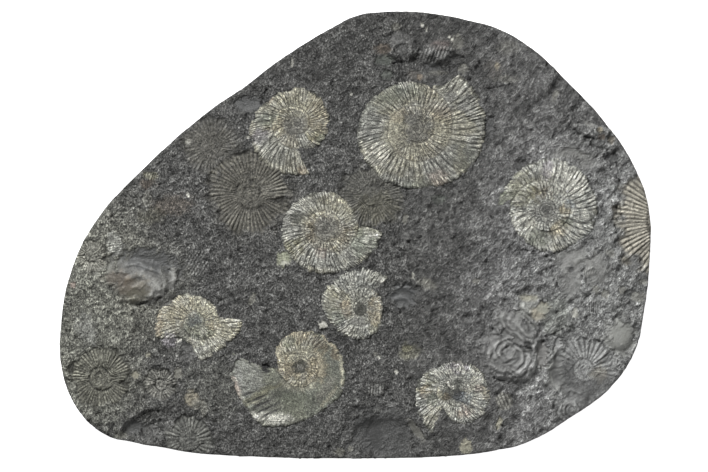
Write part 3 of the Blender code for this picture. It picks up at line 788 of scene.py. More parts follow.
# %% The shells' patches
SHELL_PATCHES = {
    "ammonite_upper_left": patch_list(
        (-34.6, 63.9, 7.5, 7.5, 0, "grey", 0.7), (-31.7, 75.5, 13.8, 7.5, 0, "cream", 0.8),
        (-20.7, 66.2, 6.9, 13.8, 0, "tan", 0.6), (-50.7, 78.9, 3.5, 2.9, 0, "rust", 0.7, 0.5),
        (-50.7, 66.2, 6.3, 4.6, 0, "green", 0.5), (-50.1, 60.5, 3.5, 2.9, 0, "brown", 0.5),
        (-54.7, 56.4, 5.2, 4, 0, "lilac", 0.7, 0.3, -0.2),
        (-46.7, 49, 9.8, 7.5, -40, "silver", 0.6, 1.1), (-23, 57.6, 4.6, 3.5, 0, "olive", 0.5),
        (-18.4, 54.7, 4, 3.5, 0, "green", 0.5, 0.8), (-30, 37.4, 2.9, 2.9, 0, "rust", 0.6, 0.8),
        (-40.3, 43.2, 5.2, 2.9, -30, "dark", 0.4, 0.8, -0.2),
    ),
    "ammonite_large": patch_list(
        (34.6, 61.1, 10.9, 10.9, 0, "grey", 0.7), (14, 81, 16, 9.5, 45, "green_grey", 0.45, 0.55),
        (63, 44, 10, 7, -50, "green_grey", 0.5, 0.45), (36, 27, 9, 5, 0, "green", 0.4, 0.7),
        (22.5, 60.5, 6.9, 10.9, 0, "cream", 0.9, 0.5), (24.8, 68.5, 5.2, 3.5, 30, "tan", 0.6, 0.8),
        (50.1, 70.8, 6.3, 4.6, 0, "rust", 0.35), (50.7, 58.2, 5.2, 6.9, 0, "cream", 0.7, 0.8),
        (35.7, 49, 8.6, 4, 0, "cream", 0.7, 0.8), (12.1, 45.5, 8.1, 7.5, 0, "white", 0.5, 1.1),
        (55.9, 83.5, 8.1, 10.4, -30, "silver", 0.5, 1.1),
        (54.7, 79.5, 3.5, 2.9, 0, "grey", 0.8, 0.2, -0.2),
        (62.2, 73.7, 4, 2.9, 0, "grey", 0.7, 0.3, -0.2), (48.4, 32.8, 5.8, 4.6, 0, "pink", 0.5),
        (49, 87, 3.5, 2.3, 20, "dark", 0.8, 0.3, -0.5), (9.8, 61.6, 8.1, 8.6, 0, "silver", 0.5),
        (25.9, 80.6, 12.7, 4.6, 15, "green", 0.4),
    ),
    "ammonite_right": patch_list(
        (110, 13.2, 6.3, 6.3, 0, "grey", 0.7), (106.6, 25.3, 6.5, 4.6, 0, "brown", 0.65),
        (117.5, 3.4, 6, 4.6, 30, "tan", 0.8, 0.8), (121.5, 7.6, 3.4, 5, 0, "shade", 0.6),
        (110.8, 37.6, 3.2, 6, -10, "lilac", 0.7, 0.4), (104.5, -1.6, 7.5, 4.4, -25, "shade", 0.7, 0.4),
        (121, 14.4, 3.5, 4, 0, "tan", 0.8, 0.8), (123.3, 17.9, 2.9, 2.9, 0, "blue", 0.6, 0.8),
        (134.8, -0.6, 4, 3.5, 0, "blue", 0.6, 0.8), (95.6, 25.9, 9.2, 10.4, 0, "olive", 0.5, 0.7),
        (84.5, 19, 6, 9, 0, "shade", 0.8, 0.4), (123.8, 31.7, 10.4, 7.5, -30, "white", 0.5, 1.1),
        (94.5, 5.2, 7.5, 8.6, 0, "white", 0.4, 1.1), (110, 0, 4.6, 2.3, 0, "dark", 0.8, 0.3, -0.5),
        (126.7, -2.9, 9.2, 6.9, -40, "silver", 0.4, 1.1),
    ),
    "ammonite_centre": patch_list(
        (-25.3, 1.7, 4, 5.8, 0, "brown", 0.6), (-5.2, 1.7, 4, 5.8, 0, "brown", 0.6),
        (-7.5, 16.1, 9.2, 6.9, -30, "cream", 0.8, 0.9), (-30, 17.3, 9.2, 6.9, 40, "silver", 0.6, 1.1),
        (-33.4, 9.8, 3.5, 3.5, 0, "dark", 0.8, 0.3, -0.3), (-40.3, 7.5, 3.5, 3.5, 0, "grey", 0.7, 0.6),
        (-35.1, -6.3, 5.8, 4.6, 0, "olive", 0.6), (-17.3, -15.6, 11.5, 4.6, 0, "silver", 0.5, 1.1),
        (-19.6, -10.4, 3.5, 2.9, 0, "pink", 0.5), (5.8, -4, 8.1, 9.2, 0, "green", 0.6, 0.8),
        (11.5, 0, 3.5, 1.7, 0, "white", 0.7, 0.8), (-17.3, 4, 5.2, 5.2, 0, "grey", 0.6),
    ),
    "ammonite_centre_low": patch_list(
        (2.9, -42.6, 4, 4, 0, "dark", 0.7, 0.6), (-5.8, -42, 3.5, 4.6, 0, "rust", 0.5, 0.8),
        (7.5, -26.5, 13.8, 6.9, 0, "silver", 0.7, 1.1), (11.5, -43.2, 4, 9.8, 0, "tan", 0.8, 0.8),
        (-2.9, -54.7, 9.2, 5.2, 0, "silver", 0.5, 1.1), (-10.4, -46.7, 4, 4.6, 0, "green", 0.6, 0.8),
        (2.3, -49.5, 4.6, 2.9, 0, "grey", 0.7, 0.3),
        (-14.4, -37.4, 4.6, 6.9, 0, "olive", 0.4, 0.5, -0.2),
        (12.1, -53.6, 4.6, 2.9, 30, "olive", 0.4, 0.8),
    ),
    "ammonite_open_coil": patch_list(
        (-31.7, -76, 4, 4, 0, "dark", 0.9, 0.5, -0.3), (-31.7, -76, 1.7, 1.7, 0, "white", 0.6),
        (-31.7, -67.4, 12.7, 5.8, 0, "cream", 0.9), (-21.3, -75.5, 4.6, 9.2, 0, "tan", 0.8),
        (-34.6, -86.4, 10.4, 4, 0, "cream", 0.6), (-21, -62.4, 6.4, 3.4, -30, "brown", 0.8, 0.8),
        (-10.9, -68.5, 2.9, 4, 0, "brown", 0.8, 0.8), (-42, -91.6, 8.1, 4.6, 0, "dark", 0.6, 0.4, -0.3),
        (-61.6, -84.7, 9.2, 15, 15, "silver", 0.6, 0.7), (-66.4, -83, 2.4, 9, 18, "silver", 0.8, 0.9),
        (-36, -96.5, 10, 6.5, 10, "shade", 0.6), (-7.8, -75, 1.1, 13, 3, "cream", 0.8, 0.3),
        (-14.6, -92.8, 1.1, 8.5, -40, "cream", 0.8, 0.3), (-16.6, -59.6, 1.1, 10, 42, "tan", 0.8, 0.3),
        (-32, -54.6, 8, 1.1, -4, "cream", 0.7, 0.4), (-17, -89, 2.6, 9, -35, "ash", 0.7),
        (-38, -61.5, 4.2, 3.4, 30, "shade", 0.7, 0.6), (-51.8, -77.2, 2.6, 2.6, 0, "pit", 1, 0.1, -1.2),
        (-55.9, -92.7, 10.4, 2.9, 30, "olive", 0.6, 0.4, -0.2),
        (-48.4, -105.6, 13.2, 3.3, -8, "white", 0.85, 0.12, 0.4),
        (-68.5, -90.4, 2.3, 8.1, 15, "pink", 0.7, 0.5), (-49, -97.9, 9.2, 4, -15, "ash", 0.3, 0.4),
        (-57, -94.6, 6.6, 0.7, 22, "pit", 0.9, 0.4, -0.4),
        (-54.4, -97.6, 7, 0.7, 23, "pit", 0.9, 0.4, -0.4),
        (-51.2, -100, 7.2, 0.7, 24, "pit", 0.9, 0.4, -0.4),
        (-48, -102.2, 6.4, 0.65, 22, "pit", 0.9, 0.4, -0.4),
        (-61.2, -91.2, 5.2, 0.6, 16, "pit", 0.8, 0.4, -0.3),
    ),
    "ammonite_left": patch_list(
        (-93.3, -48.4, 4.6, 4, 0, "blue", 0.6), (-103.1, -40.9, 8.6, 5.8, 30, "cream", 0.8),
        (-113.5, -51.3, 2.9, 6.9, 0, "rust", 0.6), (-99.1, -29.4, 4, 3.5, 0, "olive", 0.7, 0.8),
        (-99.1, -58.2, 4.6, 4.6, 0, "dark", 0.8, 0.3, -0.6),
        (-107.1, -60.5, 4, 4.6, 0, "lilac", 0.7, 0.8), (-104.5, -44, 11, 9, 30, "tan", 0.45),
        (-96.2, -67.4, 5.2, 4.6, 0, "grey", 0.7, 0.3, -0.2),
        (-86.4, -59.3, 1.5, 1.5, 0, "dark", 0.8, 0.4, -0.3),
        (-86.4, -67.4, 6.9, 5.2, -10, "silver", 0.6, 1.1), (-81.8, -51.3, 4, 3.5, 0, "tan", 0.7, 0.8),
        (-74.9, -47.8, 8.1, 5.2, 0, "cream", 0.5), (-68, -48.4, 2.9, 1.7, 0, "white", 0.7, 0.8),
    ),
    "ammonite_bottom_right": patch_list(
        (57.6, -89.9, 5.6, 5.4, 0, "dark", 0.75, 0.6), (59.9, -92.9, 3.4, 3, 0, "blue_dark", 0.8, 0.5),
        (56.4, -87.6, 1.7, 1.2, 0, "white", 0.8), (53.4, -85, 1.1, 2.4, 30, "white", 0.9),
        (42, -84, 6, 7, 0, "olive", 0.6, 0.9), (48.6, -91, 1.5, 3.4, 10, "cream", 0.9, 0.2, 0.2),
        (47.2, -78.9, 6.9, 5.2, 40, "silver", 0.7, 1.2), (58.8, -76, 6.9, 4, 0, "lilac", 0.7, 1.1),
        (71.4, -81.8, 2.3, 3.5, 0, "white", 0.7), (71.4, -88.1, 2.9, 2.3, 0, "pink", 0.45),
        (75.5, -91, 3.5, 3.5, 0, "tan", 0.6, 0.8), (40.3, -89.9, 3.5, 4, 0, "rust", 0.45),
        (44.5, -94.5, 3.5, 3.5, 0, "shade", 0.7, 0.4), (52.4, -93.3, 2.3, 2.3, 0, "brown", 0.8, 0.4),
        (62.8, -102, 4.6, 3.5, 0, "pink", 0.6), (63.9, -93.9, 3.5, 3.5, 0, "blue", 0.5),
        (39.7, -111.2, 4, 3.5, 0, "blue", 0.5), (36.9, -84.1, 2.9, 3.5, 0, "blue", 0.5),
        (47.8, -103.7, 8.6, 5.8, 40, "cream", 0.7),
        (63.9, -109.4, 4.6, 2.3, 35, "dark", 0.5, 0.6, -0.3),
    ),
}

# %% [markdown]
# ## Set the eight shells
# Beside its patches each shell has its own touch of grain and gloss. Its row says, in this order: the
# slot of its material, how strong the grains are, the roughness, how brightly the ribs' tops glint, how
# light the whole shell is, how much cream is in its silver, the radius of the dark disc in its middle
# in mm, the colours of its inner and its outer turns, how far they cover, and the growth angle where
# the one colour meets the other, if that isn't the start of the last turn. The finished mesh stands
# for the plain solid of the same shell in the frame.

# %% Build, paint and place the shells
Finish = namedtuple(
    "Finish", "slot grain roughness glint tone warmth disc inner outer cover split", defaults=(None,),
)
FINISHES = (
    Finish("shell_large", 6.2, 0.46, 0.4, 0.88, 0.05, 9.0, "tan", "ash", 0.4),
    Finish("shell_upper_left", 5.6, 0.48, 0.45, 0.95, 0.3, 7.5, "tan", "ash", 0.5),
    Finish("shell_right", 5.4, 0.38, 1.0, 1.15, -0.4, 6.6, "silver", "silver", 0.4),
    Finish("shell_centre", 6.4, 0.46, 0.7, 1.0, 0.0, 7.5, "tan", "ash", 0.4),
    Finish("shell_centre_low", 6.4, 0.44, 0.8, 1.0, -0.05, 3.8, "cream", "silver", 0.3),
    Finish("shell_open_coil", 6.0, 0.46, 0.7, 1.06, 0.0, 4.6, "tan", "green_grey", 0.85, -70.0),
    Finish("shell_left", 7.2, 0.46, 0.8, 1.14, 0.15, 5.2, "green", "cream", 0.45),
    Finish("shell_bottom_right", 7.4, 0.42, 1.3, 1.1, -0.1, 7.6, "ash", "silver", 0.3),
)


def place_piece(obj, node, slot, material):
    obj.data.materials.append(material)
    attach(obj, BODY)
    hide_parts(node)
    print(obj.name, "has", sum(len(face.vertices) - 2 for face in obj.data.polygons), "triangles")


for coil, finish in zip(AMMONITES, FINISHES):
    shell = shell_object(coil, SHELL_PATCHES[coil.name])
    paint_shell(shell, coil, SHELL_PATCHES[coil.name], finish)
    place_piece(shell, coil.name, finish.slot, shell_material(finish))

# %% [markdown]
# ## The plate's outline and its rises
# The plate is a rounded piece, broad below and drawn in towards its top. Its outline is a smooth
# closed curve through a few points, and the larger lumps and hollows of its face are ovals: two clams,
# a smooth cap, a split lump, a chipped pocket. These are the same values that gave the solid plate in
# the frame its shape, so the broken face lies on it.

# %% Outline, rises and hollows
OUTLINE_STEPS = 28
PLATE_OUTLINE = (
    (16.5, 128.8), (34.0, 128.7), (49.0, 127.2), (65.1, 123.9), (81.0, 119.6), (102.0, 107.6),
    (123.8, 87.2), (143.4, 66.0), (161.4, 38.8), (169.2, 16.0), (169.8, -18.0), (166.6, -44.4),
    (161.8, -66.0), (149.0, -86.2), (122.4, -106.6), (97.3, -120.4), (81.2, -124.4),
    (57.0, -127.4), (0.6, -129.0), (-64.0, -127.8), (-96.2, -125.4), (-112.3, -122.4),
    (-128.4, -119.8), (-144.6, -115.0), (-160.6, -99.6), (-168.8, -78.9), (-170.0, -55.0),
    (-162.4, -16.7), (-147.5, 10.9), (-122.1, 38.4), (-82.9, 72.8), (-63.9, 85.6),
    (-44.4, 100.4), (-10.4, 121.2), (0.6, 126.4),
)

Mound = namedtuple("Mound", "x y long wide turn height")
MOUNDS = (
    Mound(-123.0, -27.5, 22.5, 13.0, -12.0, 4.2),  # clam on the left
    Mound(93.0, -54.5, 17.0, 9.5, -38.0, 4.0),  # upper valve of the clam on the right
    Mound(88.5, -71.5, 18.0, 12.5, -25.0, 4.4),  # lower valve of the clam on the right
    Mound(152.0, -56.0, 9.0, 11.0, 0.0, 3.0),  # smooth cap at the right rim
    Mound(124.5, -97.0, 12.0, 8.0, 35.0, 2.4),  # ridged bulge at the lower right
    Mound(137.5, 59.0, 11.0, 7.0, -35.0, 3.0),  # split lump at the upper right
    Mound(132.0, -23.0, 19.0, 14.0, 30.0, 1.8),  # smooth swell under the right ammonite
    Mound(48.5, 105.5, 11.0, 8.0, 20.0, 2.4),  # ribbed lump at the top
    Mound(27.0, 108.0, 9.5, 9.5, 0.0, 2.0),  # small coil at the top
    Mound(42.0, 97.0, 12.0, 6.5, -25.0, -2.6),  # hollow between them
    Mound(19.0, -117.0, 24.0, 12.0, 0.0, -2.8),  # smooth hollow at the lower rim
    Mound(-120.5, -111.0, 19.0, 9.0, 32.0, -4.0),  # chipped pocket at the lower left
    Mound(-65.0, 79.0, 11.0, 9.0, 0.0, -1.8),  # smooth hollow at the upper left
)


def mound_height(mound, x, y):
    inside = np.maximum(0.0, 1.0 - oval(mound, x, y) ** 2)
    return mound.height * inside * (2.0 - inside)


def outline_points():
    """The outline as a dense list of points, read from a closed Bezier curve."""
    curve = bpy.data.curves.new("outline", "CURVE")
    curve.resolution_u = OUTLINE_STEPS
    spline = curve.splines.new("BEZIER")
    spline.bezier_points.add(len(PLATE_OUTLINE) - 1)
    for point, (x, y) in zip(spline.bezier_points, PLATE_OUTLINE):
        point.co = (x, y, 0.0)
        point.handle_left_type = point.handle_right_type = "AUTO"
    spline.use_cyclic_u = True
    drawn = bpy.data.objects.new("outline", curve)
    bpy.context.scene.collection.objects.link(drawn)
    bpy.context.view_layer.update()
    depsgraph = bpy.context.evaluated_depsgraph_get()
    line = bpy.data.meshes.new_from_object(drawn.evaluated_get(depsgraph))
    bpy.data.objects.remove(drawn)
    return np.array([vert.co[:2] for vert in line.vertices])


OUTLINE = outline_points()
print("outline of", len(OUTLINE), "points")

# %% [markdown]
# ## Prints of further shells
# Around the eight shells the shale shows the prints of more: brown, flat, often only a few ribs. They
# are part of the plate's own surface. The same spiral describes them, so each is a coil whose rim is
# given at the same four growth angles: its outer turn is a wide ring of single ribs, and the turns
# inside it are small. Small scraps of ribbed shell, whose coil is lost, are ovals with straight ribs,
# and the clams' growth lines are rings in an oval.

# %% Prints, ribbed scraps and rings
PRINT_GROWTH = (-400, -20, 0, 340)  # a print's last turn starts at 0
PRINT_MOUTH = ((0.0, 340.0),)
PRINT_LEAN = 0.3
Print = namedtuple("Print", "coil strength colour tone")


def pressed_coil(name, x, y, ribs, radii, strength, colour, tone, bare=NEVER):
    """A print; a radius of None leaves that growth angle out."""
    rim = tuple(point for point in zip(PRINT_GROWTH, radii) if point[1])
    coil = Coil(name, x, y, 1, ribs, PRINT_LEAN, rim, PRINT_MOUTH, bare)
    return Print(coil, strength, colour, tone)


PRINTS = (
    pressed_coil("brown", -60.5, 24.2, 54, (5, 10, 23.5, 24.5), 1.3, "brown_print", 0.4),
    pressed_coil("centre", 9.8, 23.0, 56, (4, 7, 18, 19), 1.1, "olive_dark", 0.3),
    pressed_coil("upper_left", -82.4, 51.0, 40, (5, 8, 16, 17), 0.9, "brown_print", 0.25),
    pressed_coil("corner", -146.5, -82.0, 50, (3.6, 8.4, 16.8, 17.6), 1.5, "olive_dark", 0.3),
    pressed_coil("corner_small", -111.9, -85.8, 30, (1.8, 4.2, 9, 9.6), 1.6, "ash", 0.3),
    pressed_coil("low_rim", -95.7, -117.7, 29, (3.2, 7, 13.4, 14), 1.3, "zone_left", 0.3),
    pressed_coil("lower_right", 132.2, -77.2, 30, (4.4, 7.5, 17.5, 19.5), 0.95, "zone_right", 0.5, 160.0),
    pressed_coil("right_rim", 184.3, 8.1, 70, (14, 16, 34, 36), 1.3, "tan", 0.4),
    pressed_coil("left_small", -152.1, -12.4, 34, (1.8, 3.6, 8.6, 9.4), 1.6, "ash", 0.4),
    pressed_coil("top_small", 26.8, 111.1, 26, (2, 5, None, 7.4), 0.9, "smooth_mid", 0.5),
    pressed_coil("right_curl", 161.3, -16.1, 22, (1.2, 2.8, None, 4.4), 0.9, "smooth_mid", 0.4),
)

Ribs = namedtuple("Ribs", "x y long wide turn slant spacing colour amount rise")
RIBBED_SCRAPS = [Ribs(*row) for row in (
    (-138.5, -4.5, 4.6, 7.4, 8, 5, 1.35, "silver", 0.65, 0.5),
    (-120.0, 21.0, 3.2, 4.6, 0, 115, 1.5, "ash", 0.4, 0.4),
    (-107.0, 4.0, 4.0, 4.6, 0, 120, 1.2, "smooth_mid", 0.4, 0.3),
    (-117.8, 34.2, 4.6, 2.6, 0, 75, 1.3, "olive", 0.35, 0.3),
    (138.0, -40.9, 3.6, 4.2, 0, 90, 1.2, "smooth_mid", 0.4, 0.3),
    (-90.4, -16.7, 7.6, 8.0, 0, 60, 1.7, "smooth_mid", 0.25, 0.3),
    (12.0, -88.9, 5.4, 4.2, 0, 88, 1.6, "smooth_light", 0.5, 0.4),
    (30.0, -65.4, 3.0, 2.2, 0, 60, 1.0, "olive", 0.4, 0.3),
    (46.5, 104.5, 9.6, 4.6, 15, 70, 1.9, "smooth_mid", 0.5, 0.7),
    (134.5, -21.0, 3.6, 2.6, 0, 80, 1.2, "smooth_light", 0.5, 0.3),
    (86.0, -96.0, 5.2, 5.4, 0, 115, 2.0, "ash", 0.6, 0.5),
    (13.0, -101.0, 2.6, 1.6, 0, 85, 1.2, "smooth_light", 0.5, 0.3),
)]

Rings = namedtuple("Rings", "x y long wide turn spacing rise colour", defaults=("smooth_mid",))
RINGED_LUMPS = (
    Rings(90.0, -68.0, 18.0, 14.0, -25.0, 3.0, 0.6),
    Rings(95.0, -52.0, 17.0, 9.5, -38.0, 3.2, 0.6),
    Rings(125.0, -100.6, 11.5, 9.0, 35.0, 2.6, 0.9),
    Rings(133.0, 58.0, 11.0, 7.0, -35.0, 3.0, 0.35),
)

# %% [markdown]
# ## Cracks and folds
# Splitting shale leaves cracks and small steps, and the smooth clams and lumps are folded where they
# were pressed. Both are bent lines, so one kind of row is enough: a half width, then how deep the
# crack or how high the fold is, then the points. Later each point of the face looks up the nearest of
# these lines.

# %% Bent lines
LINE_SPACING = 0.25  # mm from point to point of a dense line
Line = namedtuple("Line", "half height points")


def dense_line(points):
    """The points of a bent line with more points between them."""
    placed = []
    for (ax, ay), (bx, by) in zip(points, points[1:]):
        count = max(2, math.ceil(math.hypot(bx - ax, by - ay) / LINE_SPACING))
        share = np.linspace(0.0, 1.0, count, endpoint=False)
        placed.append(np.column_stack([ax + (bx - ax) * share, ay + (by - ay) * share]))
    return np.concatenate(placed + [np.array(points[-1:])])


def line_list(*rows):
    """Each row: half width and height in mm, then the x and y of each point in turn."""
    return [Line(row[0], row[1], dense_line(list(zip(row[2::2], row[3::2])))) for row in rows]


# %% The cracks
CRACKS = line_list(
    # the upper left rim and the left side
    (0.6, 1, -114.9, 40.3, -108.3, 43.8, -101.6, 46.3),
    (0.4, 0.6, -106.9, 34.8, -96.2, 36.3, -87.6, 37.4, -82.9, 41.5, -78.9, 44.6),
    (0.4, 0.6, -83.1, 70.3, -84.7, 65.1, -84.9, 59.6),
    (0.6, 1.1, -142, 9.6, -138.7, 11.6, -135.4, 12.6, -131, 15.6, -127, 17),
    (0.4, 0.6, -129.9, 2.6, -127, 4.1), (0.4, 0.6, -136.1, 0.8, -131, 0.1),
    (0.4, 0.6, -71.4, 72, -64.5, 70.8, -57.6, 69.1), (0.6, 1, -49.5, 85.8, -52.4, 81.2, -54.1, 75.5),
    # the middle
    (0.5, 0.9, 12.3, -85.6, 18.4, -89.7, 24.7, -94.3, 29.3, -96.9, 35, -98.4),
    (0.3, 0.4, -10.9, -106.6, -2.6, -103.6, 3.1, -100.5),
    (0.3, 0.5, 26.5, -57.6, 30.4, -56.8, 33.4, -56.3),
    (0.5, 0.9, 21.9, -6.7, 24.3, -4.1, 29.1, -3.7, 33.5, -2.6, 38.3, -1.2),
    (0.6, 0.9, 23, -14.4, 26.2, -12.2, 29.1, -10, 32.3, -7.5),
    (0.7, 0.6, 48.6, -4.5, 51.1, -3.7, 56.3, -2.2, 61.4, 1.4), (0.7, 0.6, 37.9, -21.4, 42.3, -20.6),
    (0.6, 0.7, 30.2, -27.2, 34.2, -28.3, 37.9, -31.3), (0.6, 0.7, 45.6, -36.8, 48.6, -34.2),
    (0.3, 0.5, -42.6, 33.4, -30.9, 32.7, -19.1, 36.3), (0.5, 0.6, -16.1, 46.7, -11, 45.2),
    (0.4, 0.7, 4.4, 3.7, 9.8, 3.8, 15.4, 4.4), (0.4, 0.6, -56.6, -14.3, -53.6, -15.8, -49.9, -15.8),
    (0.5, 0.7, -57.3, -18.8, -47.8, -19.3, -37.4, -18.5),
    # the upper right and the right rim
    (0.6, 1, 75.6, 83.6, 81.8, 85.7, 88.7, 86.5),
    (0.9, 1.7, 124.2, 62.4, 129.5, 58.5, 135.5, 55.2, 142.1, 55.9),
    (0.6, 0.8, 126.2, 63.8, 131.5, 66.4), (0.3, 0.5, 118.3, 76.3, 118.5, 67.7),
    (0.5, 0.9, 92.7, 40.6, 99.8, 43.3, 106.4, 43.9, 113, 42.6, 121, 41, 126.9, 38.6, 133.5, 32.7, 136.5,
     28.2),
    (0.6, 0.8, 150.7, 41.3, 152.6, 28.1, 152.4, 16.1, 155.2, 4.9, 158.1, -4.6, 160.7, -8.6),
    (0.5, 0.7, 98.4, 51.8, 99.8, 61.1, 104.3, 63.9, 109, 66.4),
    # the clam on the right and the bulge below it
    (0.9, 1.6, 79.3, -54.4, 86.6, -59, 91.8, -63, 97.8, -64.9, 103.7, -64.3, 109, -60.3),
    (0.7, 1.4, 109, -58.3, 114.3, -57, 118.9, -54.4, 123.6, -52.4),
    (0.6, 1, 79.3, -82.1, 85.2, -84.1, 91.2, -84.8, 94.5, -84.4),
    (0.5, 0.9, 81.8, -67.4, 85.2, -66, 88.1, -63.9), (0.5, 0.8, 85.2, -73.6, 88.7, -73.2, 91.8, -71.7),
    (0.7, 1, 111, -72.6, 111, -77.2), (0.5, 0.7, 111, -89.4, 112.9, -95, 115, -100),
    (0.5, 0.7, 106.4, -85.4, 104.8, -90.4, 103.7, -94.7),
    # the cap at the right rim, the rim print and the smooth swell
    (0.7, 1.4, 145.4, -47.8, 149.5, -48.2, 153.7, -46.1, 156.7, -47.6, 161.9, -49.7),
    (1.1, 1.6, 147.6, -48.4, 151.5, -46.9, 156.1, -47.6, 160.7, -49.6),
    (0.8, 1.1, 151.6, 20.4, 150.6, 12.4, 150.2, 4.8, 151.8, -3.6), (0.6, 1, 162.3, -40.3, 164.4, -44),
    (0.5, 0.6, 130.5, -16.2, 134.2, -14.2, 138.8, -11.6, 142.8, -9),
    (0.5, 0.8, 110, -12.7, 115.6, -10.6, 123.3, -6),
    (0.5, 0.6, 112.6, -14.7, 113.1, -19.9, 114.6, -25.9, 118.1, -32.8),
    (0.5, 0.7, 151.1, -12.7, 154.2, -16.2), (0.5, 0.7, 156.7, -29.6, 158.8, -31.7, 161.9, -29.1),
    (0.4, 0.6, 156.7, -14.2, 163.5, -12.1),
    # the clam on the left
    (0.3, 0.6, -131.7, -16.1, -125.9, -16.5, -119.2, -17.6, -114.1, -19.8),
    (0.3, 0.6, -141.3, -30.8, -134.7, -25.6, -128.8, -21.3),
    (0.6, 1.2, -102, -20.5, -102.5, -25.9, -103.8, -30.8),
    (1, 1.5, -107.5, -32.3, -111.2, -35.9, -115.5, -37.3, -120, -38.6, -125.1, -40.2),
    (0.6, 1.1, -135.4, -44.8, -131.7, -46.9, -125.9, -46.3, -120.7, -43.3),
    (0.7, 1.2, -141.1, -29.4, -139.7, -32.3, -137.7, -36.9),
    # the lower left corner
    (0.5, 0.8, -118.5, -79.3, -113.4, -77.8, -107.5, -78.6, -105.3, -84.4),
    (1, 2, -123.4, -112.6, -121.4, -109.5, -115.7, -107.9, -110.1, -105.9, -106, -103.7),
    (0.7, 1.4, -122.1, -102.5, -117.8, -101.2, -113.6, -101.7, -109, -101.7),
    (0.6, 1, -146.3, -112.9, -141.1, -114.6, -136.5, -114.6),
    # the lumps at the top
    (0.6, 1.3, 16.2, 98, 23.7, 99.2, 28.7, 99.9, 35, 101.7),
    (0.5, 0.7, 53.5, 99.6, 57.6, 101.6, 62.2, 102.5), (0.6, 1, 43.2, 93.3, 49.5, 92.4, 54.7, 94.5),
    (0.5, 0.7, 35.7, 105.4, 39.2, 108.9, 44.9, 110.6), (0.6, 0.8, 65.1, 89.3, 68, 91.6, 72, 99.6),
    # beside the right ammonite and beside the open coil
    (0.6, 0.9, 94.8, -7.2, 102, -9.8, 109.4, -8.6, 115.8, -6), (0.3, 0.4, -1.7, -67.4, 0.6, -72.6),
)

# %% The folds
FOLDS = line_list(
    # the clam on the left
    (1.5, 1.1, -131.3, -17, -127.3, -16.4, -123.3, -16.7, -118.7, -18.7, -114.6, -20.7),
    (1.9, 1.4, -130.2, -24.8, -126.1, -22.2, -122.1, -22.2, -118.1, -24.8, -114.6, -28.2, -112.3,
     -31.1),
    (1.4, 1.2, -118.1, -27.6, -115.8, -30.5, -116.9, -33.4, -118.1, -35.7),
    (1.2, 0.9, -127.9, -30.5, -124.4, -29.4, -121, -27.6),
    (1.3, 0.9, -136.5, -36.9, -133.1, -38, -129, -37.4, -125, -36.9),
    (1.5, 1, -113.5, -20.2, -110, -23.6, -108.9, -28.2, -110, -31.7),
    (1.7, 1.3, -105.4, -17.9, -104.3, -21.9, -103.7, -25.9),
    (1.2, 0.8, -138.8, -21.3, -135.4, -20.7, -131.9, -21.9),
    (1.1, 0.8, -129, -41.5, -125, -42, -121.5, -43.2),
    # the clam on the right and the lump above it
    (1.6, 1.2, 81.2, -47.8, 85.2, -46.7, 89.9, -49, 93.9, -51.8),
    (1, 1.1, 93.3, -51.3, 96.8, -55.3, 100.2, -59.3, 102, -61.6),
    (1, 1.1, 89.9, -53, 93.9, -57, 97.3, -61.1), (1.2, 1.1, 77.2, -67.4, 80.1, -63.9, 82.9, -61.1),
    (1.2, 1.1, 79.5, -71.4, 82.9, -68, 85.8, -63.9), (1.1, 1.3, 88.7, -70.3, 91, -67.4, 92.7, -64.5),
    (1.2, 1.1, 92.2, -64.5, 95.6, -66.8, 96.8, -70.3, 94.5, -74.3, 91, -77.2),
    (1.2, 1.1, 97.3, -63.9, 100.2, -67.4, 100.2, -72, 97.3, -76.6, 93.3, -79.5),
    (1.3, 1.1, 103.1, -62.8, 104.3, -68.5, 103.1, -73.7, 100.2, -78.3),
    (1.2, 1, 77.8, -74.3, 81.2, -77.2, 85.2, -78.3, 89.9, -77.8),
    (1.2, 0.9, 77.2, -78.3, 81.8, -81.2, 87, -81.8), (1.6, 1.1, 96.2, -40.9, 99.6, -43.8, 103.1, -44.9),
    (2.2, 1.2, 112.3, -75.5, 112.9, -70.8, 115.8, -66.8, 119.8, -63.9),
    # the bulge below it, the split lump and the smooth swell
    (1.2, 0.9, 116.4, -94.5, 119.8, -89.9, 125, -88.7, 129, -91),
    (1.2, 0.8, 118.7, -100.2, 121.5, -96.2, 125.6, -96.2, 127.3, -100.8),
    (1.4, 1, 132.5, 58.8, 136.5, 62.2, 141.1, 61.6, 145.2, 58.8),
    (1.1, 0.8, 139.4, 51.8, 142.8, 50.7, 147.5, 51.8),
    (1.1, 0.6, 126.7, -15.6, 131.3, -12.7, 136.5, -10.4, 141.1, -8.6),
    (1, 0.6, 129, -24.2, 132.5, -20.7, 137.1, -19),
    (0.9, 0.6, 129.6, -27.6, 131.9, -24.8, 134.2, -21.9),
    # the dark clam in the middle, then the lumps at the top
    (1.2, 0.8, 21.9, -32.8, 25.3, -30, 30, -30, 33.4, -32.8),
    (1.2, 0.8, 22.5, -37.4, 26.5, -35.7, 30.5, -36.9, 33.4, -39.7),
    (1.1, 0.7, 24.8, -41.5, 28.8, -40.9, 32.3, -42.6),
    (1.3, 0.9, 21.3, 105.4, 23.6, 110, 28.2, 111.2, 32.3, 108.9, 32.8, 104.3),
    (1.3, 0.9, 40.3, 102, 44.9, 106.6, 50.7, 107.7, 55.9, 106),
    (1.1, 0.8, 43.8, 97.9, 49, 100.8, 54.7, 100.8, 59.3, 99.1),
)

# %% [markdown]
# ## What lies between the shells
# The face between the shells is no plain ground: smooth clams, pale chips, stains, pits and a pale
# nodule lie in it, and whole zones are lighter. They are patches like those of the shells, from the
# wide and faint ones to chips of a millimetre. How much of the rough face is left in each is what
# makes a clam look smooth.

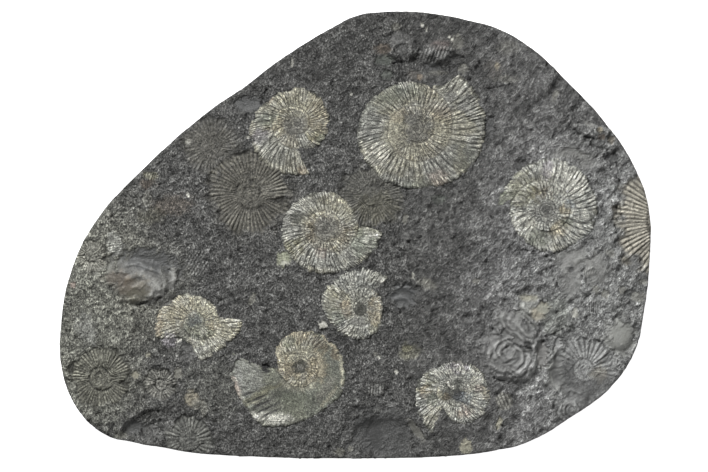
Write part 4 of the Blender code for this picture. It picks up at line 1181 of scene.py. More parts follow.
# %% Patches of the plate
PLATE_PATCHES = patch_list(
    (-123, -24, 21, 14, -12, "smooth_mid", 0.8, 0.15),
    (-118, -14.5, 18, 6.5, -8, "smooth_dark", 0.85, 0.35),
    (-115, -33, 8, 8, 0, "smooth_light", 0.5, 0.8), (-127.5, -31, 9, 6.5, 10, "brown", 0.45, 0.6),
    (87, -69, 17, 15, -25, "smooth_mid", 0.5, 0.25), (92, -52, 12, 7, -35, "smooth_light", 0.5, 0.35),
    (28, -35.5, 8, 7, 0, "smooth_dark", 0.7, 0.2), (127, -98, 10, 8, 35, "smooth_mid", 0.4, 0.3),
    (117, -68, 3, 9, 0, "smooth_dark", 0.6, 0.2, -0.4),
    (-155.5, -54.7, 23, 63.4, 10, "zone_left", 0.65), (141.1, -37.4, 35.7, 86.4, 0, "zone_right", 0.75),
    (155.5, -2.9, 14.4, 51.8, -8, "zone_right", 0.5),
    (-61.1, 75.5, 9.2, 5.2, 0, "smooth_dark", 0.7, 0.2), (148, 44.4, 4, 3.5, 0, "pit", 0.7, 0.5, -0.8),
    (95.6, 40.3, 4, 3.5, 0, "pit", 0.6, 0.5, -0.6),
    (27.1, -34, 7.5, 5.2, 0, "smooth_dark", 0.7, 0.3, -0.4),
    (16.7, -114, 20.7, 14.4, 0, "smooth_dark", 0.5, 0.3), (11.5, -116.9, 5.2, 11.5, 0, "pit", 0.4, 0.2),
    (35.1, -112.3, 2.3, 7.5, 35, "ash", 0.5, 0.2, 0.1),
    (-127.9, -110.6, 5.8, 4, 0, "smooth_dark", 0.6, 0.2, -0.3),
    (-118.1, -114.6, 5.2, 4.6, 20, "smooth_mid", 0.6, 0.6, 0.6),
    (107.7, -69.1, 3.5, 7.5, 0, "brown_grey", 0.6, 0.2, -0.2),
    (44.4, 97.3, 5.8, 3.5, 0, "smooth_dark", 0.6, 0.3),
    (16.7, 100.8, 5.8, 2.9, 0, "dark_green", 0.6, 0.3),
    (18.4, 92.2, 3.5, 2.9, 0, "dark_green", 0.5, 0.3),
    (77.8, 62.2, 2.3, 6.9, 0, "smooth_dark", 0.5, 0.3),
    (123.3, 47.2, 8.1, 3.5, 0, "smooth_light", 0.7, 0.3, 0.2),
    (133.1, 42, 4.6, 4.6, 0, "smooth_light", 0.6, 0.3, 0.2),
    (134.8, 63.4, 3.5, 1.7, -30, "smooth_light", 0.7, 0.3, 0.2),
    (140.5, 60.5, 1.7, 1.7, 0, "tan", 0.7, 0.5, 0.1), (141.7, 56.4, 2.3, 1.7, 0, "rust_dark", 0.8, 0.5),
    (147.5, 54.7, 2.3, 2.3, 0, "brown", 0.6, 0.5),
    (124.4, -12.7, 9.8, 5.8, 0, "smooth_light", 0.6, 0.25),
    (124.4, -25.9, 6.3, 10.4, 0, "smooth_light", 0.5, 0.25),
    (138.8, -20.2, 8.1, 8.6, 0, "smooth_light", 0.6, 0.25, 0.2),
    (124.4, -20.2, 1.7, 1.7, 0, "pit", 0.8, 0.3, -0.6), (-99.3, -58, 4.6, 4.4, 0, "pit", 0.75, 1, -0.6),
    (-107, -60.5, 4.2, 4.6, 0, "lilac", 0.7, 0.9, 0.4),
    (-96.2, -67.4, 5, 4.6, 0, "smooth_mid", 0.7, 0.3, 0.2),
    (-101, -60.5, 3, 0.8, 35, "white", 0.6, 0.6, 0.2),
    (152.4, -58.6, 8.2, 9.8, 0, "silver", 0.85, 0.04),
    (165.9, -27.1, 2.9, 1.7, 0, "ash", 0.6, 0.4, 0.4), (163, -35.7, 4, 2.9, 0, "ash", 0.6, 0.4, 0.4),
    (-136.5, -24.8, 8.1, 4, 0, "rust_dark", 0.55, 0.4),
    (-133.1, -30.5, 5.2, 3.5, 0, "rust_dark", 0.4, 0.4),
    (-125, -34.6, 6.9, 4, 0, "olive_dark", 0.5, 0.4),
    (-104.8, -24.2, 2.3, 6.3, 0, "smooth_light", 0.7, 0.3, 0.3),
    (101.4, -43.2, 8.5, 7.5, 0, "silver", 0.9, 0.4, 0.5),
    (105.3, -45.4, 4.6, 3.8, -30, "tan", 0.9, 0.5), (108.3, -42, 3.8, 3.4, 0, "cream", 0.9, 0.5),
    (99.8, -36.2, 4.6, 2, 0, "cream", 0.9, 0.5, 0.2), (115.8, -46.7, 8.1, 10.4, 0, "green", 0.4, 0.8),
    (88.1, -68, 11.5, 11.5, 0, "smooth_mid", 0.5, 0.4),
    (94.5, -54.1, 12.7, 6.9, -35, "smooth_mid", 0.6, 0.4),
    (-154.4, -54.1, 5.2, 9.2, 15, "silver", 0.8, 0.7, 0.9),
    (-41.2, -13.8, 4.3, 4.3, 30, "nodule", 0.95, 0.35, 0.9),
    (-40.5, -16.1, 2.4, 1.4, 0, "white", 0.5, 0.4, 0.2),
    (-18.4, -51.8, 2.5, 2.3, 0, "white", 0.9, 0.25, 0.9),
    (41.5, -28.2, 5.2, 2.9, -20, "ash", 0.7, 0.5, 0.5),
    (69.7, -26.5, 2.3, 1.7, 0, "ash", 0.7, 0.5, 0.3), (84, -16, 18, 17, 0, "smooth_dark", 0.3),
    (-82, -88, 17, 17, 0, "zone_left", 0.35), (118, -62, 34, 34, 0, "zone_right", 0.3),
    (33.4, -23, 0.9, 1.7, 0, "white", 0.8, 0.5, 0.2), (28.8, 9.2, 1.7, 2.9, 0, "ash", 0.7, 0.5, 0.3),
    (-51.6, -77.4, 2.7, 2.7, 0, "pit", 1, 0.1, -1.6),
    (-93.9, -94.4, 4.4, 4.6, 0, "tan", 0.55, 0.5, 0.6), (-91, -97, 3.5, 3, 40, "ash", 0.6, 0.5, 0.3),
    (-87, -99.6, 2.3, 4.6, 0, "ash", 0.6, 0.5, 0.3),
    (63.9, -122.1, 3.5, 4.6, 0, "cream", 0.95, 0.4, 0.5),
    (82.9, -108.5, 1.7, 3.6, -15, "cream", 0.85, 0.3, 0.3),
    (-59.3, -36.9, 1.7, 4, -25, "ash", 0.7, 0.5, 0.3),
    (-119.2, 34.6, 2.3, 1.7, 0, "ash", 0.6, 0.5, 0.3),
    (-126.7, -80.6, 2.4, 2, 20, "cream", 0.75, 0.25, 0.4),
    (-102, -79.5, 2.3, 3.6, 0, "ash", 0.85, 0.25, 0.4),
    (-119.2, -69.1, 1.5, 1.5, 0, "cream", 0.5, 0.5, 0.3),
    (126.7, -44.9, 1.7, 2.9, 0, "white", 0.7, 0.5, 0.3),
    (-162.4, -28.8, 1.7, 1.7, 0, "pink", 0.8, 0.5, 0.3),
    (-8.6, -125, 2.9, 2.3, 0, "ash", 0.8, 0.5, 0.3), (-2.9, -123.3, 1.7, 1.7, 0, "ash", 0.6, 0.5, 0.2),
    (138.8, -31.7, 2.3, 2.3, 0, "ash", 0.6, 0.4, 0.4), (144, -34, 2.3, 2.3, 0, "ash", 0.6, 0.4, 0.4),
    (146.9, -10.4, 2.9, 2.3, 0, "ash", 0.5, 0.4, 0.4),
    (153.8, -31.7, 2.3, 2.3, 0, "ash", 0.6, 0.4, 0.4), (31.7, -67.4, 5.8, 4.6, 0, "olive", 0.35, 0.8),
    (11.5, -68.5, 1.2, 1.2, 0, "white", 0.6, 0.5, 0.2),
    (13.8, -70.3, 1.2, 1.2, 0, "white", 0.6, 0.5, 0.2),
    (23.6, -78.9, 1.2, 1.2, 0, "white", 0.6, 0.5, 0.2),
    (-134.8, -115.8, 2.9, 2.3, 0, "ash", 0.7, 0.4, 0.3),
    (-96.2, 23, 1.7, 0.9, -60, "white", 0.6, 0.5, 0.2),
    (-96.2, 53.6, 1.7, 1.7, 0, "white", 0.6, 0.5, 0.2), (48.4, 20.7, 4, 2.9, 0, "dark_green", 0.5, 0.8),
    (-36.3, 99.1, 0.9, 2.9, 0, "white", 0.5, 0.5), (-2.3, 81.2, 0.9, 0.9, 0, "white", 0.6, 0.5),
    (-61.6, 56.4, 1, 1, 0, "white", 0.6, 0.5), (-119.8, 29.4, 4.6, 2.9, 0, "rust_dark", 0.6, 0.8),
    (-104.8, 17.3, 10.4, 5.8, 0, "rust_dark", 0.45, 0.9),
    (-117.5, 10.9, 6.9, 4.6, 0, "olive_dark", 0.5, 0.9), (-59.3, 23, 24.2, 23, 0, "brown_print", 0.2),
    (12.7, 15.6, 12.7, 8.1, 0, "olive_dark", 0.5, 0.9),
    (-85.2, 52.4, 15, 11.5, 0, "brown_print", 0.3, 0.9), (140.8, -80.1, 4.6, 4.6, 0, "tan", 0.6, 0.8),
    (115.5, -80, 4.6, 11, 0, "silver", 0.5, 0.15, 0.2),
    (15.6, 107.1, 4.6, 2.9, 0, "rust_dark", 0.6, 0.6), (23.6, 119.8, 2.9, 2.3, 0, "ash", 0.6, 0.5, 0.2),
    (49, 108.9, 5.2, 2.9, 0, "pink_dark", 0.5, 0.8), (58.8, 111.2, 3.5, 4.6, 0, "ash", 0.5, 0.5, 0.3),
    (54.1, 114, 0.9, 0.9, 0, "white", 0.7, 0.5), (55.9, 112.9, 0.9, 0.9, 0, "white", 0.7, 0.5),
    (38.6, 121, 0.9, 0.9, 0, "white", 0.7, 0.5), (40.9, 118.7, 0.9, 0.9, 0, "white", 0.7, 0.5),
    (57.6, 102, 4.6, 1.7, 0, "pit", 0.3, 0.5, -0.2), (56.4, 95, 2.3, 2.3, 0, "pit", 0.5, 0.5, -0.3),
    (47.8, 93.3, 4.6, 1.2, 0, "ash", 0.5, 0.5, 0.3),
    (35.1, 91.6, 4.6, 2.9, 0, "brown_grey", 0.6, 0.3, 0.2), (36.9, 91, 1.7, 1.7, 0, "rust", 0.5, 0.3),
    (62.2, 95.6, 2.9, 2.9, 0, "ash", 0.5, 0.5, 0.2),
    (80.1, 95.6, 5.2, 4.6, 0, "brown_grey", 0.5, 0.6, 0.8), (81.8, 97.3, 1.7, 1.7, 0, "tan", 0.5, 0.6),
    (87.6, 89.9, 6.9, 2.3, 0, "ash", 0.4, 0.8, 0.2), (87.6, 108.3, 5.8, 4, 0, "ash", 0.35, 0.6, 0.7),
    (115.2, 80.6, 3.5, 1.7, 60, "ash", 0.5, 0.6, 0.5),
)

# %% [markdown]
# ## Distances on the plate
# A crack is deep in its middle and shallow at its edges, and the stone dips where it meets a shell, so
# the face needs to know how far each of its points is from these lines. A search tree finds the
# nearest point of a line quickly, and only points in the line's own box are asked at all.

# %% Lines near a point
LINE_REACH, SHELL_REACH = 4.0, 12.0  # mm; points farther away aren't asked
FAR_OUTSIDE = -20.0
CRACK_BEND, CRACK_EDGE = 1.6, 0.95  # how far a crack wavers, and where it ends, in half widths
FOLD_BEND, FOLD_EDGE = 1.2, 1.5  # how far a fold wavers in mm, and where it ends in half widths


def nearest(line, x, y):
    """For each point the index of the line's nearest point, and how far away it is."""
    tree = kdtree.KDTree(len(line))
    for index, (a, b) in enumerate(line.tolist()):
        tree.insert((a, b, 0.0), index)
    tree.balance()
    found = [tree.find((a, b, 0.0)) for a, b in zip(x.tolist(), y.tolist())]
    return np.array([hit[1] for hit in found]), np.array([hit[2] for hit in found])


def near_box(line, x, y, margin):
    """The indices of the points that lie within a margin of the line's own box."""
    low, high = line.min(axis=0) - margin, line.max(axis=0) + margin
    return np.nonzero((x > low[0]) & (x < high[0]) & (y > low[1]) & (y < high[1]))[0]


def depth_inside(line, x, y):
    """How far each point lies inside a closed line, and below 0 outside it."""
    inside = np.zeros(len(x), bool)
    for (ax, ay), (bx, by) in zip(line, np.roll(line, -1, axis=0)):
        if ay != by:
            crosses = ((ay > y) != (by > y)) & (x < ax + (y - ay) * (bx - ax) / (by - ay))
            inside ^= crosses
    distance = nearest(line, x, y)[1]
    return np.where(inside, distance, -distance)


SHELL_OUTLINES = [coil_outline(coil) for coil in AMMONITES]


def near_lines(lines, x, y):
    """Each line with the indices of the points near it and their distances from it."""
    for line in lines:
        index = near_box(line.points, x, y, LINE_REACH)
        if len(index):
            yield line, index, nearest(line.points, x[index], y[index])[1]


def crack_share(x, y, widen=1.0):
    """Depth of the cracks in mm, and how much painted shade they get, at each point."""
    depth, dark = np.zeros(len(x)), np.zeros(len(x))
    bend = waves(x, y, 2.2, 3, seed=11.0) * CRACK_BEND
    open_part = smooth(waves(x, y, 6.0, 3, seed=13.0), -0.4, 0.1)
    for crack, index, distance in near_lines(CRACKS, x, y):
        distance = np.abs(distance + bend[index] * crack.half)
        share = smooth(distance, crack.half * CRACK_EDGE * widen, 0.0) * open_part[index]
        depth[index] = np.maximum(depth[index], share * crack.height)
        dark[index] = np.maximum(dark[index], share)
    return depth, dark


def fold_rise(x, y):
    """Height of the folds in mm at each point."""
    rise = np.zeros(len(x))
    bend = waves(x, y, 6.0, 2, seed=14.0) * FOLD_BEND
    for fold, index, distance in near_lines(FOLDS, x, y):
        share = smooth(np.abs(distance + bend[index]), fold.half * FOLD_EDGE, 0.0)
        rise[index] = np.maximum(rise[index], share * fold.height)
    return rise


def shell_depth(x, y):
    """How far each point lies inside the nearest shell's outline; outside it is below 0."""
    depth = np.full(len(x), FAR_OUTSIDE)
    for line in SHELL_OUTLINES:
        index = near_box(line, x, y, SHELL_REACH)
        depth[index] = np.maximum(depth[index], depth_inside(line, x[index], y[index]))
    return depth


# %% [markdown]
# ## A face of broken shale
# Shale splits in beds, so its face is a stack of thin steps with flaky edges, and on each step lie
# little tipped flakes. Several layers make that: slow steps from rounded waves, flakes from cells that
# each have their own tilt, sharp crinkles, and a fine crumb. On the right half all of them are drawn
# out to the upper right, as the splitting went there.

# %% Steps, flakes and crinkles
RIGHT_HALF = (20.0, 90.0)  # x from which, and up to which, the grain turns
STEP_HEIGHT, RIGHT_STEPS = 0.36, 0.75
STEPS_PER_WAVE = 5.0
STEP_EDGE = (0.3, 0.62)  # where a step rises, as a share of its length
FLAKE_LEVEL = 0.35  # how far one flake lies over the next, as a share of its size
CRINKLE_LENGTH, CRINKLE_WIDTH = 8.0, 0.38


def flakes(x, y, size, tilt, seed, stretch=1.0, turn=0.0):
    """Flat flakes of that size in mm; each is tipped its own way by up to the tilt."""
    along, across = turned(x, y, turn)
    heights = []
    for a, b in zip((along / (size * stretch)).tolist(), (across / size).tolist()):
        centre = noise.voronoi((a, b, seed))[1][0]
        lean = noise.cell_vector(centre * 7.31)
        tipped = (a - centre.x) * (lean.x - 0.5) + (b - centre.y) * (lean.y - 0.5)
        heights.append(tipped + lean.z * FLAKE_LEVEL)
    return np.array(heights) * tilt * size - 0.17 * tilt * size


def on_right(x):
    return smooth(x, *RIGHT_HALF)


def crinkles(x, y):
    """Sharp little ridges, 1 on a ridge; on the right they run up to the right."""
    plain = np.abs(waves(x, y, CRINKLE_LENGTH, 4, seed=36.0))
    slanting = np.abs(waves(x, y, CRINKLE_LENGTH, 3, seed=37.0, stretch=2.0, turn=48.0))
    return smooth(mix(plain, slanting, on_right(x)), CRINKLE_WIDTH, 0.0)


def bed_steps(x, y):
    """Thin steps between beds; on the right they run up to the right."""
    plain = waves(x, y, 21.0, 4, seed=21.0)
    slanting = waves(x, y, 9.0, 4, seed=22.0, stretch=2.6, turn=52.0)
    level = mix(plain, slanting, on_right(x)) * STEPS_PER_WAVE
    floor = np.floor(level)
    return (floor + smooth(level - floor, *STEP_EDGE)) * STEP_HEIGHT * mix(1.0, RIGHT_STEPS, on_right(x))


# %% [markdown]
# ## The relief of prints, scraps and rings
# A print is what a shell leaves in the bed: its ribs are single and low, and parts of them are gone.
# Each print, scrap or ringed lump is worked out only for the points near it. It says how far it lifts
# the face there, how far a painted highlight and painted shade along its ribs light or darken it, and
# how far its colour covers.

# %% Prints in the face
PRINT_RELIEF, PRINT_MIDDLE = 1.1, 0.55  # mm; and the rib height that counts as level
PRINT_RAGGED, PRINT_EDGE = 0.22, (1.04, 0.84)
PRINT_SWAY, WEAKEST_PRINT_RIB = 0.4, 0.6
INNER_TURNS = (-25.0, -15.0)  # the growth angles where a print's outer turn sets in
# SCRAP_LIGHT and RING_LIGHT are painted highlight on the scraps' ribs and on the rings, and painted shade
# between them
SCRAP_LIGHT, SCRAP_RELIEF, SCRAP_EDGE = 0.45, 0.7, (1.1, 0.8)
RING_LIGHT, RING_COVER, RING_RAGGED = 0.28, 0.25, 0.18


def full_reach(coil):
    return max(radius for _, radius in coil.rim)


def print_ribs(coil, growth, across):
    """The ribs of a print: single and lower than a shell's, 0 in a groove and 1 on a rib."""
    sway = PRINT_SWAY * waves(growth, across * 6.0, 40.0, 2, seed=coil.y)
    phase = growth * coil.ribs / TURN + sway - coil.lean * across * across
    number = np.round(phase)
    strength = mix(WEAKEST_PRINT_RIB, 1.0, scatter(number, coil.x)) * ribbed(coil, growth)
    inner = mix(0.5, 1.0, smooth(growth, *INNER_TURNS))
    return mix(PRINT_MIDDLE, smooth(np.abs(phase - number), 0.5, 0.2) * strength, inner)


def print_marks(x, y):
    """Each print's points, its rise in mm and its light there, and how far it covers them."""
    for pressed in PRINTS:
        coil = pressed.coil
        reach = full_reach(coil)
        near = np.nonzero(np.hypot(x - coil.x, y - coil.y) < reach * 1.15)[0]
        if len(near) == 0:
            continue
        a, b = x[near], y[near]
        growth, across = coil_place(coil, a, b)
        crests = print_ribs(coil, growth, np.clip(across, 0.0, 1.0))
        arch = arch_of(across)
        edge = np.hypot(a - coil.x, b - coil.y) / reach
        shown = smooth(edge + PRINT_RAGGED * waves(a, b, 7.0, 3, seed=coil.x), *PRINT_EDGE)
        shown = shown * pressed.strength
        clear = smooth(waves(a, b, 9.0, 4, seed=coil.y), -0.35, 0.15)
        seam = mix(1.0, smooth(arch, 0.0, 0.4), clear)
        ridge = (crests * seam - PRINT_MIDDLE) * shown * mix(0.65, 1.0, clear)
        rise = ridge * PRINT_RELIEF + 0.15 * (arch - 0.5) * shown * clear
        yield near, rise, ridge, shown, pressed


def scrap_marks(x, y):
    """The same for the scraps of ribbed shell."""
    for scrap in RIBBED_SCRAPS:
        edge = oval(scrap, x, y)
        near = np.nonzero(edge < 1.5)[0]
        a, b = x[near], y[near]
        across = turned(a, b, scrap.slant)[1] + 0.35 * waves(a, b, 4.0, 2, seed=scrap.x)
        wave = np.cos(across * math.tau / scrap.spacing)
        shown = smooth(edge[near] + 0.3 * waves(a, b, 3.0, 3, seed=scrap.y), *SCRAP_EDGE)
        rise = (0.5 * wave * scrap.rise + scrap.rise) * shown * SCRAP_RELIEF
        yield near, rise, SCRAP_LIGHT * wave * shown, shown * scrap.amount, scrap


def ring_marks(x, y):
    """The same for the rings of the clams and lumps."""
    for lump in RINGED_LUMPS:
        edge = oval(lump, x, y)
        near = np.nonzero(edge < 1.2)[0]
        a, b = x[near], y[near]
        size = (lump.long + lump.wide) / 2.0
        shape = edge[near] + RING_RAGGED * waves(a, b, 11.0, 3, seed=lump.x)
        wave = np.cos(shape * size * math.tau / lump.spacing)
        shown = smooth(edge[near], 1.1, 0.85) * smooth(edge[near], 0.05, 0.3)
        shown *= smooth(waves(a, b, 9.0, 3, seed=lump.y), -0.3, 0.15)
        yield near, 0.5 * wave * lump.rise * shown, RING_LIGHT * wave * shown, RING_COVER * shown, lump


def print_fields(x, y):
    """Relief and light of all prints, scraps and rings, and what each covers with its colour."""
    relief, light, marks = np.zeros(len(x)), np.zeros(len(x)), []
    for kind in (print_marks, scrap_marks, ring_marks):
        for near, rise, lit, shown, mark in kind(x, y):
            relief[near] += rise
            light[near] += lit
            marks.append((near, shown, mark))
    return relief, light, marks


def calmed(left, marks, share):
    """What is left of the rough face where the marks take this share of it."""
    for near, shown, _ in marks:
        left[near] *= 1.0 - share * np.clip(shown, 0.0, 1.0)
    return left


# %% [markdown]
# ## The height of the face
# Now all of it is added up: the plate's slow waves, its lumps and hollows, steps and flakes, prints,
# folds and cracks. Smooth patches and the strip beside each shell get less of the rough parts. In
# places the stone laps a little over a shell's rim, and under the shell it dips into a pocket.

# %% Add up the height
UNDULATION, UNDULATION_LENGTH = 0.7, 34.0
CALM_MARGIN = 9.0  # mm around a shell in which the slow waves fade out
FLAKE_SIZE, FLAKE_TILT = 4.6, 0.5
FINE_FLAKE_TILT = 0.75
CRUMB, CRUMB_SIZE = 0.35, 1.2
CRINKLE, PLAIN_SHARE, RIGHT_SHARE = 1.5, 0.45, 0.75
CRINKLE_MIDDLE = 0.35
SHELL_COVER, LAP_REACH = 1.0, 1.5  # how high and how far the stone laps over the shells' rims
PRINT_SMOOTH = 0.85  # what a print takes from the rough face
SHELL_STRIP = 2.2  # mm beside a shell, where the face is less rough
TOP_ROOM = 0.05  # mm that the highest point stays under the frame's box
POCKET_FLOOR, POCKET_START, POCKET_SLOPE, POCKET_HOLE = 15.5, 0.35, 1.3, 3.6


def near_shells(x, y):
    """1 at a shell and 0 farther away than the margin."""
    calm = np.zeros(len(x))
    for coil in AMMONITES:
        beyond = np.hypot(x - coil.x, y - coil.y) - full_reach(coil)
        calm = np.maximum(calm, np.clip(1.0 - beyond / CALM_MARGIN, 0.0, 1.0))
    return calm


def roughness_of(x, y):
    """Flakes, crumb and crinkles in mm, where nothing smooths the face."""
    right = on_right(x)
    plain = flakes(x, y, 1.9, FINE_FLAKE_TILT, 32.0)
    slanting = flakes(x, y, 1.7, FINE_FLAKE_TILT, 33.0, stretch=2.2, turn=54.0)
    rough = flakes(x, y, FLAKE_SIZE, FLAKE_TILT, 31.0) + mix(plain, slanting, right)
    rough = rough + CRUMB * waves(x, y, CRUMB_SIZE, 3, seed=34.0)
    return rough + CRINKLE * mix(PLAIN_SHARE, RIGHT_SHARE, right) * (crinkles(x, y) - CRINKLE_MIDDLE)


def face_height(x, y):
    """Height of the plate's face in mm over the frame's ground, and the depth inside a shell."""
    depth = shell_depth(x, y)
    calm = near_shells(x, y)
    height = BEDDING_PLANE + UNDULATION * waves(x, y, UNDULATION_LENGTH, 1) * (1.0 - calm)
    height += sum(mound_height(mound, x, y) for mound in MOUNDS)
    left, rise = kept(PLATE_PATCHES, x, y)
    relief, _, marks = print_fields(x, y)
    left = calmed(left, marks, PRINT_SMOOTH)
    broken = roughness_of(x, y) * left * mix(0.4, 1.0, smooth(depth, 0.0, -SHELL_STRIP))
    broken += bed_steps(x, y) * (1.0 - calm) * mix(0.4, 1.0, left)
    height += broken
    lap = np.clip(0.25 + 1.5 * waves(x, y, 6.0, 4, seed=38.0), 0.0, 1.0)
    height += SHELL_COVER * lap * smooth(depth, -3.0, 0.0)
    height += relief + rise + fold_rise(x, y) - crack_share(x, y)[0]
    start = POCKET_START + LAP_REACH * lap
    height = mix(height, POCKET_FLOOR, smooth(depth, start, start + POCKET_SLOPE))
    return np.clip(height, POCKET_FLOOR, FRAME_BOX[1].z / MM - TOP_ROOM), depth


# %% [markdown]
# ## From a grid to a broken plate
# The face starts as a plain grid, cut back to the outline and made finer where cracks, prints and
# chips are, so that the detail goes where the eye does. Its open edge is pulled out to the outline
# itself, and then down in rows for the plate's sides, whose beds weather back unevenly. Then every
# point of the face is lifted to its height. Last, what lies deep under a shell is cut out and each
# hole closed by one flat face, since no one ever sees it.

# %% Build the plate
GRID_PITCH = 1.2  # mm between the grid's points
EDGE_ROOM = 0.35 * GRID_PITCH
FINE_PATCH = 4.2  # a patch with a shorter half length gets the finer mesh
SIDE_LEVELS = (0.97, 0.9, 0.8, 0.69, 0.58, 0.47, 0.35, 0.23, 0.12, 0.03, 0.0)  # shares of the height
SIDE_INSETS = (0.35, 0.5, 0.55, 0.5, 0.55, 0.6, 0.55, 0.6, 0.6, 0.7, 1.1)  # mm in from the outline
SIDE_RAGGED, LEAST_INSET, RIM_INSET, RIM_WELD = 0.45, 0.12, 0.3, 0.05
SIDE_PACE = 0.35  # mm of a wave from one point of the outline to the next, which draws the beds out


def columns_of(verts):
    return tuple(np.array([vert.co[axis] / MM for vert in verts]) for axis in (0, 1))


def trimmed_grid(bm):
    """A grid over the plate, cut back to what lies inside the outline."""
    low, high = OUTLINE.min(axis=0) - 1.0, OUTLINE.max(axis=0) + 1.0
    columns, rows = (int(round(side / GRID_PITCH)) for side in high - low)
    bmesh.ops.create_grid(bm, x_segments=columns, y_segments=rows, size=0.5)
    width, length = high - low
    bmesh.ops.scale(bm, vec=(width * MM, length * MM, 1.0), verts=bm.verts)
    middle = (low + high) / 2.0 * MM
    bmesh.ops.translate(bm, vec=(middle[0], middle[1], 0.0), verts=bm.verts)
    verts = list(bm.verts)
    depth = depth_inside(OUTLINE, *columns_of(verts))
    outside = [vert for vert, inside in zip(verts, depth.tolist()) if inside < EDGE_ROOM]
    bmesh.ops.delete(bm, geom=outside, context="VERTS")


def wants_detail(x, y):
    """True where prints, ribs, rings, chips or cracks need the finer mesh."""
    wanted = (crack_share(x, y, widen=1.6)[1] > 0.0) | (fold_rise(x, y) > 0.1)
    for pressed in PRINTS:
        coil = pressed.coil
        wanted |= np.hypot(x - coil.x, y - coil.y) < full_reach(coil) * 1.02
    small = [patch for patch in PLATE_PATCHES if patch.long < FINE_PATCH]
    for spot in (*RIBBED_SCRAPS, *RINGED_LUMPS, *small):
        wanted |= oval(spot, x, y) < 1.15
    return wanted & (shell_depth(x, y) < POCKET_HOLE)


def refine(bm):
    verts = list(bm.verts)
    fine = wants_detail(*columns_of(verts)).tolist()
    wanted = {vert for vert, needed in zip(verts, fine) if needed}
    faces = [face for face in bm.faces if sum(vert in wanted for vert in face.verts) >= 2]
    edges = {edge for face in faces for edge in face.edges}
    bmesh.ops.subdivide_edges(bm, edges=list(edges), cuts=1, use_grid_fill=True)


def inward(x, y):
    """The direction from the outline's nearest point into the plate."""
    ahead = np.roll(OUTLINE, -3, axis=0) - np.roll(OUTLINE, 3, axis=0)
    normals = np.column_stack([-ahead[:, 1], ahead[:, 0]])
    normals /= np.linalg.norm(normals, axis=1)[:, None]
    turn_way = 1.0 if depth_inside(OUTLINE, *(OUTLINE[:1] + normals[:1]).T)[0] > 0.0 else -1.0
    return normals[nearest(OUTLINE, x, y)[0]] * turn_way


def side_rows(bm):
    """The plate's edge as rows of faces, from the face's rim down to the underside."""
    snapped = bmesh.ops.extrude_edge_only(bm, edges=open_ones(bm.edges))["geom"]
    verts = verts_of(snapped)
    index = nearest(OUTLINE, *columns_of(verts))[0]
    rim = OUTLINE[index] + inward(*OUTLINE[index].T) * RIM_INSET
    top = face_height(rim[:, 0], rim[:, 1])[0]
    set_places(verts, rim[:, 0], rim[:, 1], top)
    bmesh.ops.remove_doubles(bm, verts=verts, dist=RIM_WELD * MM)
    edges = open_ones(bm.edges)
    sides = []
    for level, inset in zip(SIDE_LEVELS, SIDE_INSETS):
        made = bmesh.ops.extrude_edge_only(bm, edges=edges)["geom"]
        edges = open_ones(edges_of(made))
        sides.append((verts_of(made), level, inset))
    bmesh.ops.contextual_create(bm, geom=edges)
    return sides


def shape_sides(sides):
    """Moves each row to its level and back from the outline; every row is ragged in its own way."""
    for verts, level, inset in sides:
        index = nearest(OUTLINE, *columns_of(verts))[0]
        x, y = OUTLINE[index].T
        top = face_height(x, y)[0]
        run = index * SIDE_PACE
        ragged = SIDE_RAGGED * waves(run, np.full(len(run), level * 17.0), 3.0, 4, seed=41.0)
        ragged += SIDE_RAGGED * waves(run, np.full(len(run), level * 40.0), 12.0, 2, seed=42.0)
        back = np.maximum(inset + ragged * smooth(level, 0.0, 0.05), LEAST_INSET)
        shift = inward(x, y) * back[:, None]
        set_places(verts, x + shift[:, 0], y + shift[:, 1], top * level)


def plate_object():
    bm = bmesh.new()
    trimmed_grid(bm)
    refine(bm)
    face = list(bm.verts)
    sides = side_rows(bm)
    shape_sides(sides)
    face = [vert for vert in face if vert.is_valid]
    x, y = columns_of(face)
    height, depth = face_height(x, y)
    set_places(face, x, y, height)
    deep = [vert for vert, inside in zip(face, depth.tolist()) if inside > POCKET_HOLE]
    bmesh.ops.delete(bm, geom=deep, context="VERTS")
    bmesh.ops.holes_fill(bm, edges=open_ones(bm.edges), sides=0)
    return finished_object("split_shale_plate", bm)


# %% [markdown]
# ## The colour of the plate
# Fresh shale is blue-black, old bedding planes are paler and olive. The wide zones come first, then the
# patches and the prints. After that only light and dark change: the ribs of the prints, the crinkles and
# the folds get a painted highlight where they rise and painted shade where they sink, the cracks get
# painted shade, and the ground edge goes dark. The sides show the level beds in the stone, so their
# noise hardly changes along the plate.

# %% Paint the plate
SHALE, SHALE_RIGHT, SHALE_LEFT = chart(95, 95, 93), chart(150, 150, 149), chart(130, 130, 121)
ZONE_BEND, ZONE_LENGTH = 25.0, 60.0  # mm; how far the zones' borders wander
RIGHT_ZONE, RIGHT_FADE = (42.0, 112.0), (75.0, 10.0)  # over these x, and stronger over these y
LEFT_ZONE, LEFT_LOW, LEFT_TOP = (-92.0, -150.0), (-115.0, -75.0), (50.0, -20.0)
TOP_DARK, TOP_ZONE = 0.22, (45.0, 85.0)
CLOUD, CLOUD_SIZE = 0.35, 16.0  # lighter and darker clouds, and their size in mm
SPECKLE, SPECKLE_SIZE = 0.3, 2.6
# painted shade in the cracks, and painted highlight and shade on the prints' ribs, the crinkles and the
# folds: lighter where they rise, darker where they sink
CRACK_SHADE, PRINT_LIGHT, CRINKLE_LIGHT, FOLD_LIGHT = 0.72, 1.6, 0.5, 0.5
PRINT_CALM = 0.6  # what a print takes from the grain
RIM_DARK, RIM_WIDTH = 0.4, 1.8  # the ground edge of the face
BED_LIGHT, BED_LENGTH, BED_FLATNESS = 0.5, 3.0, 0.06  # paler and darker beds along the sides
UNDERSIDE = (3.0, 1.0)  # heights over which the sides' colour takes over near the underside
SLANTING_FROM = (36.0, 42.0)  # x where the finest grain turns


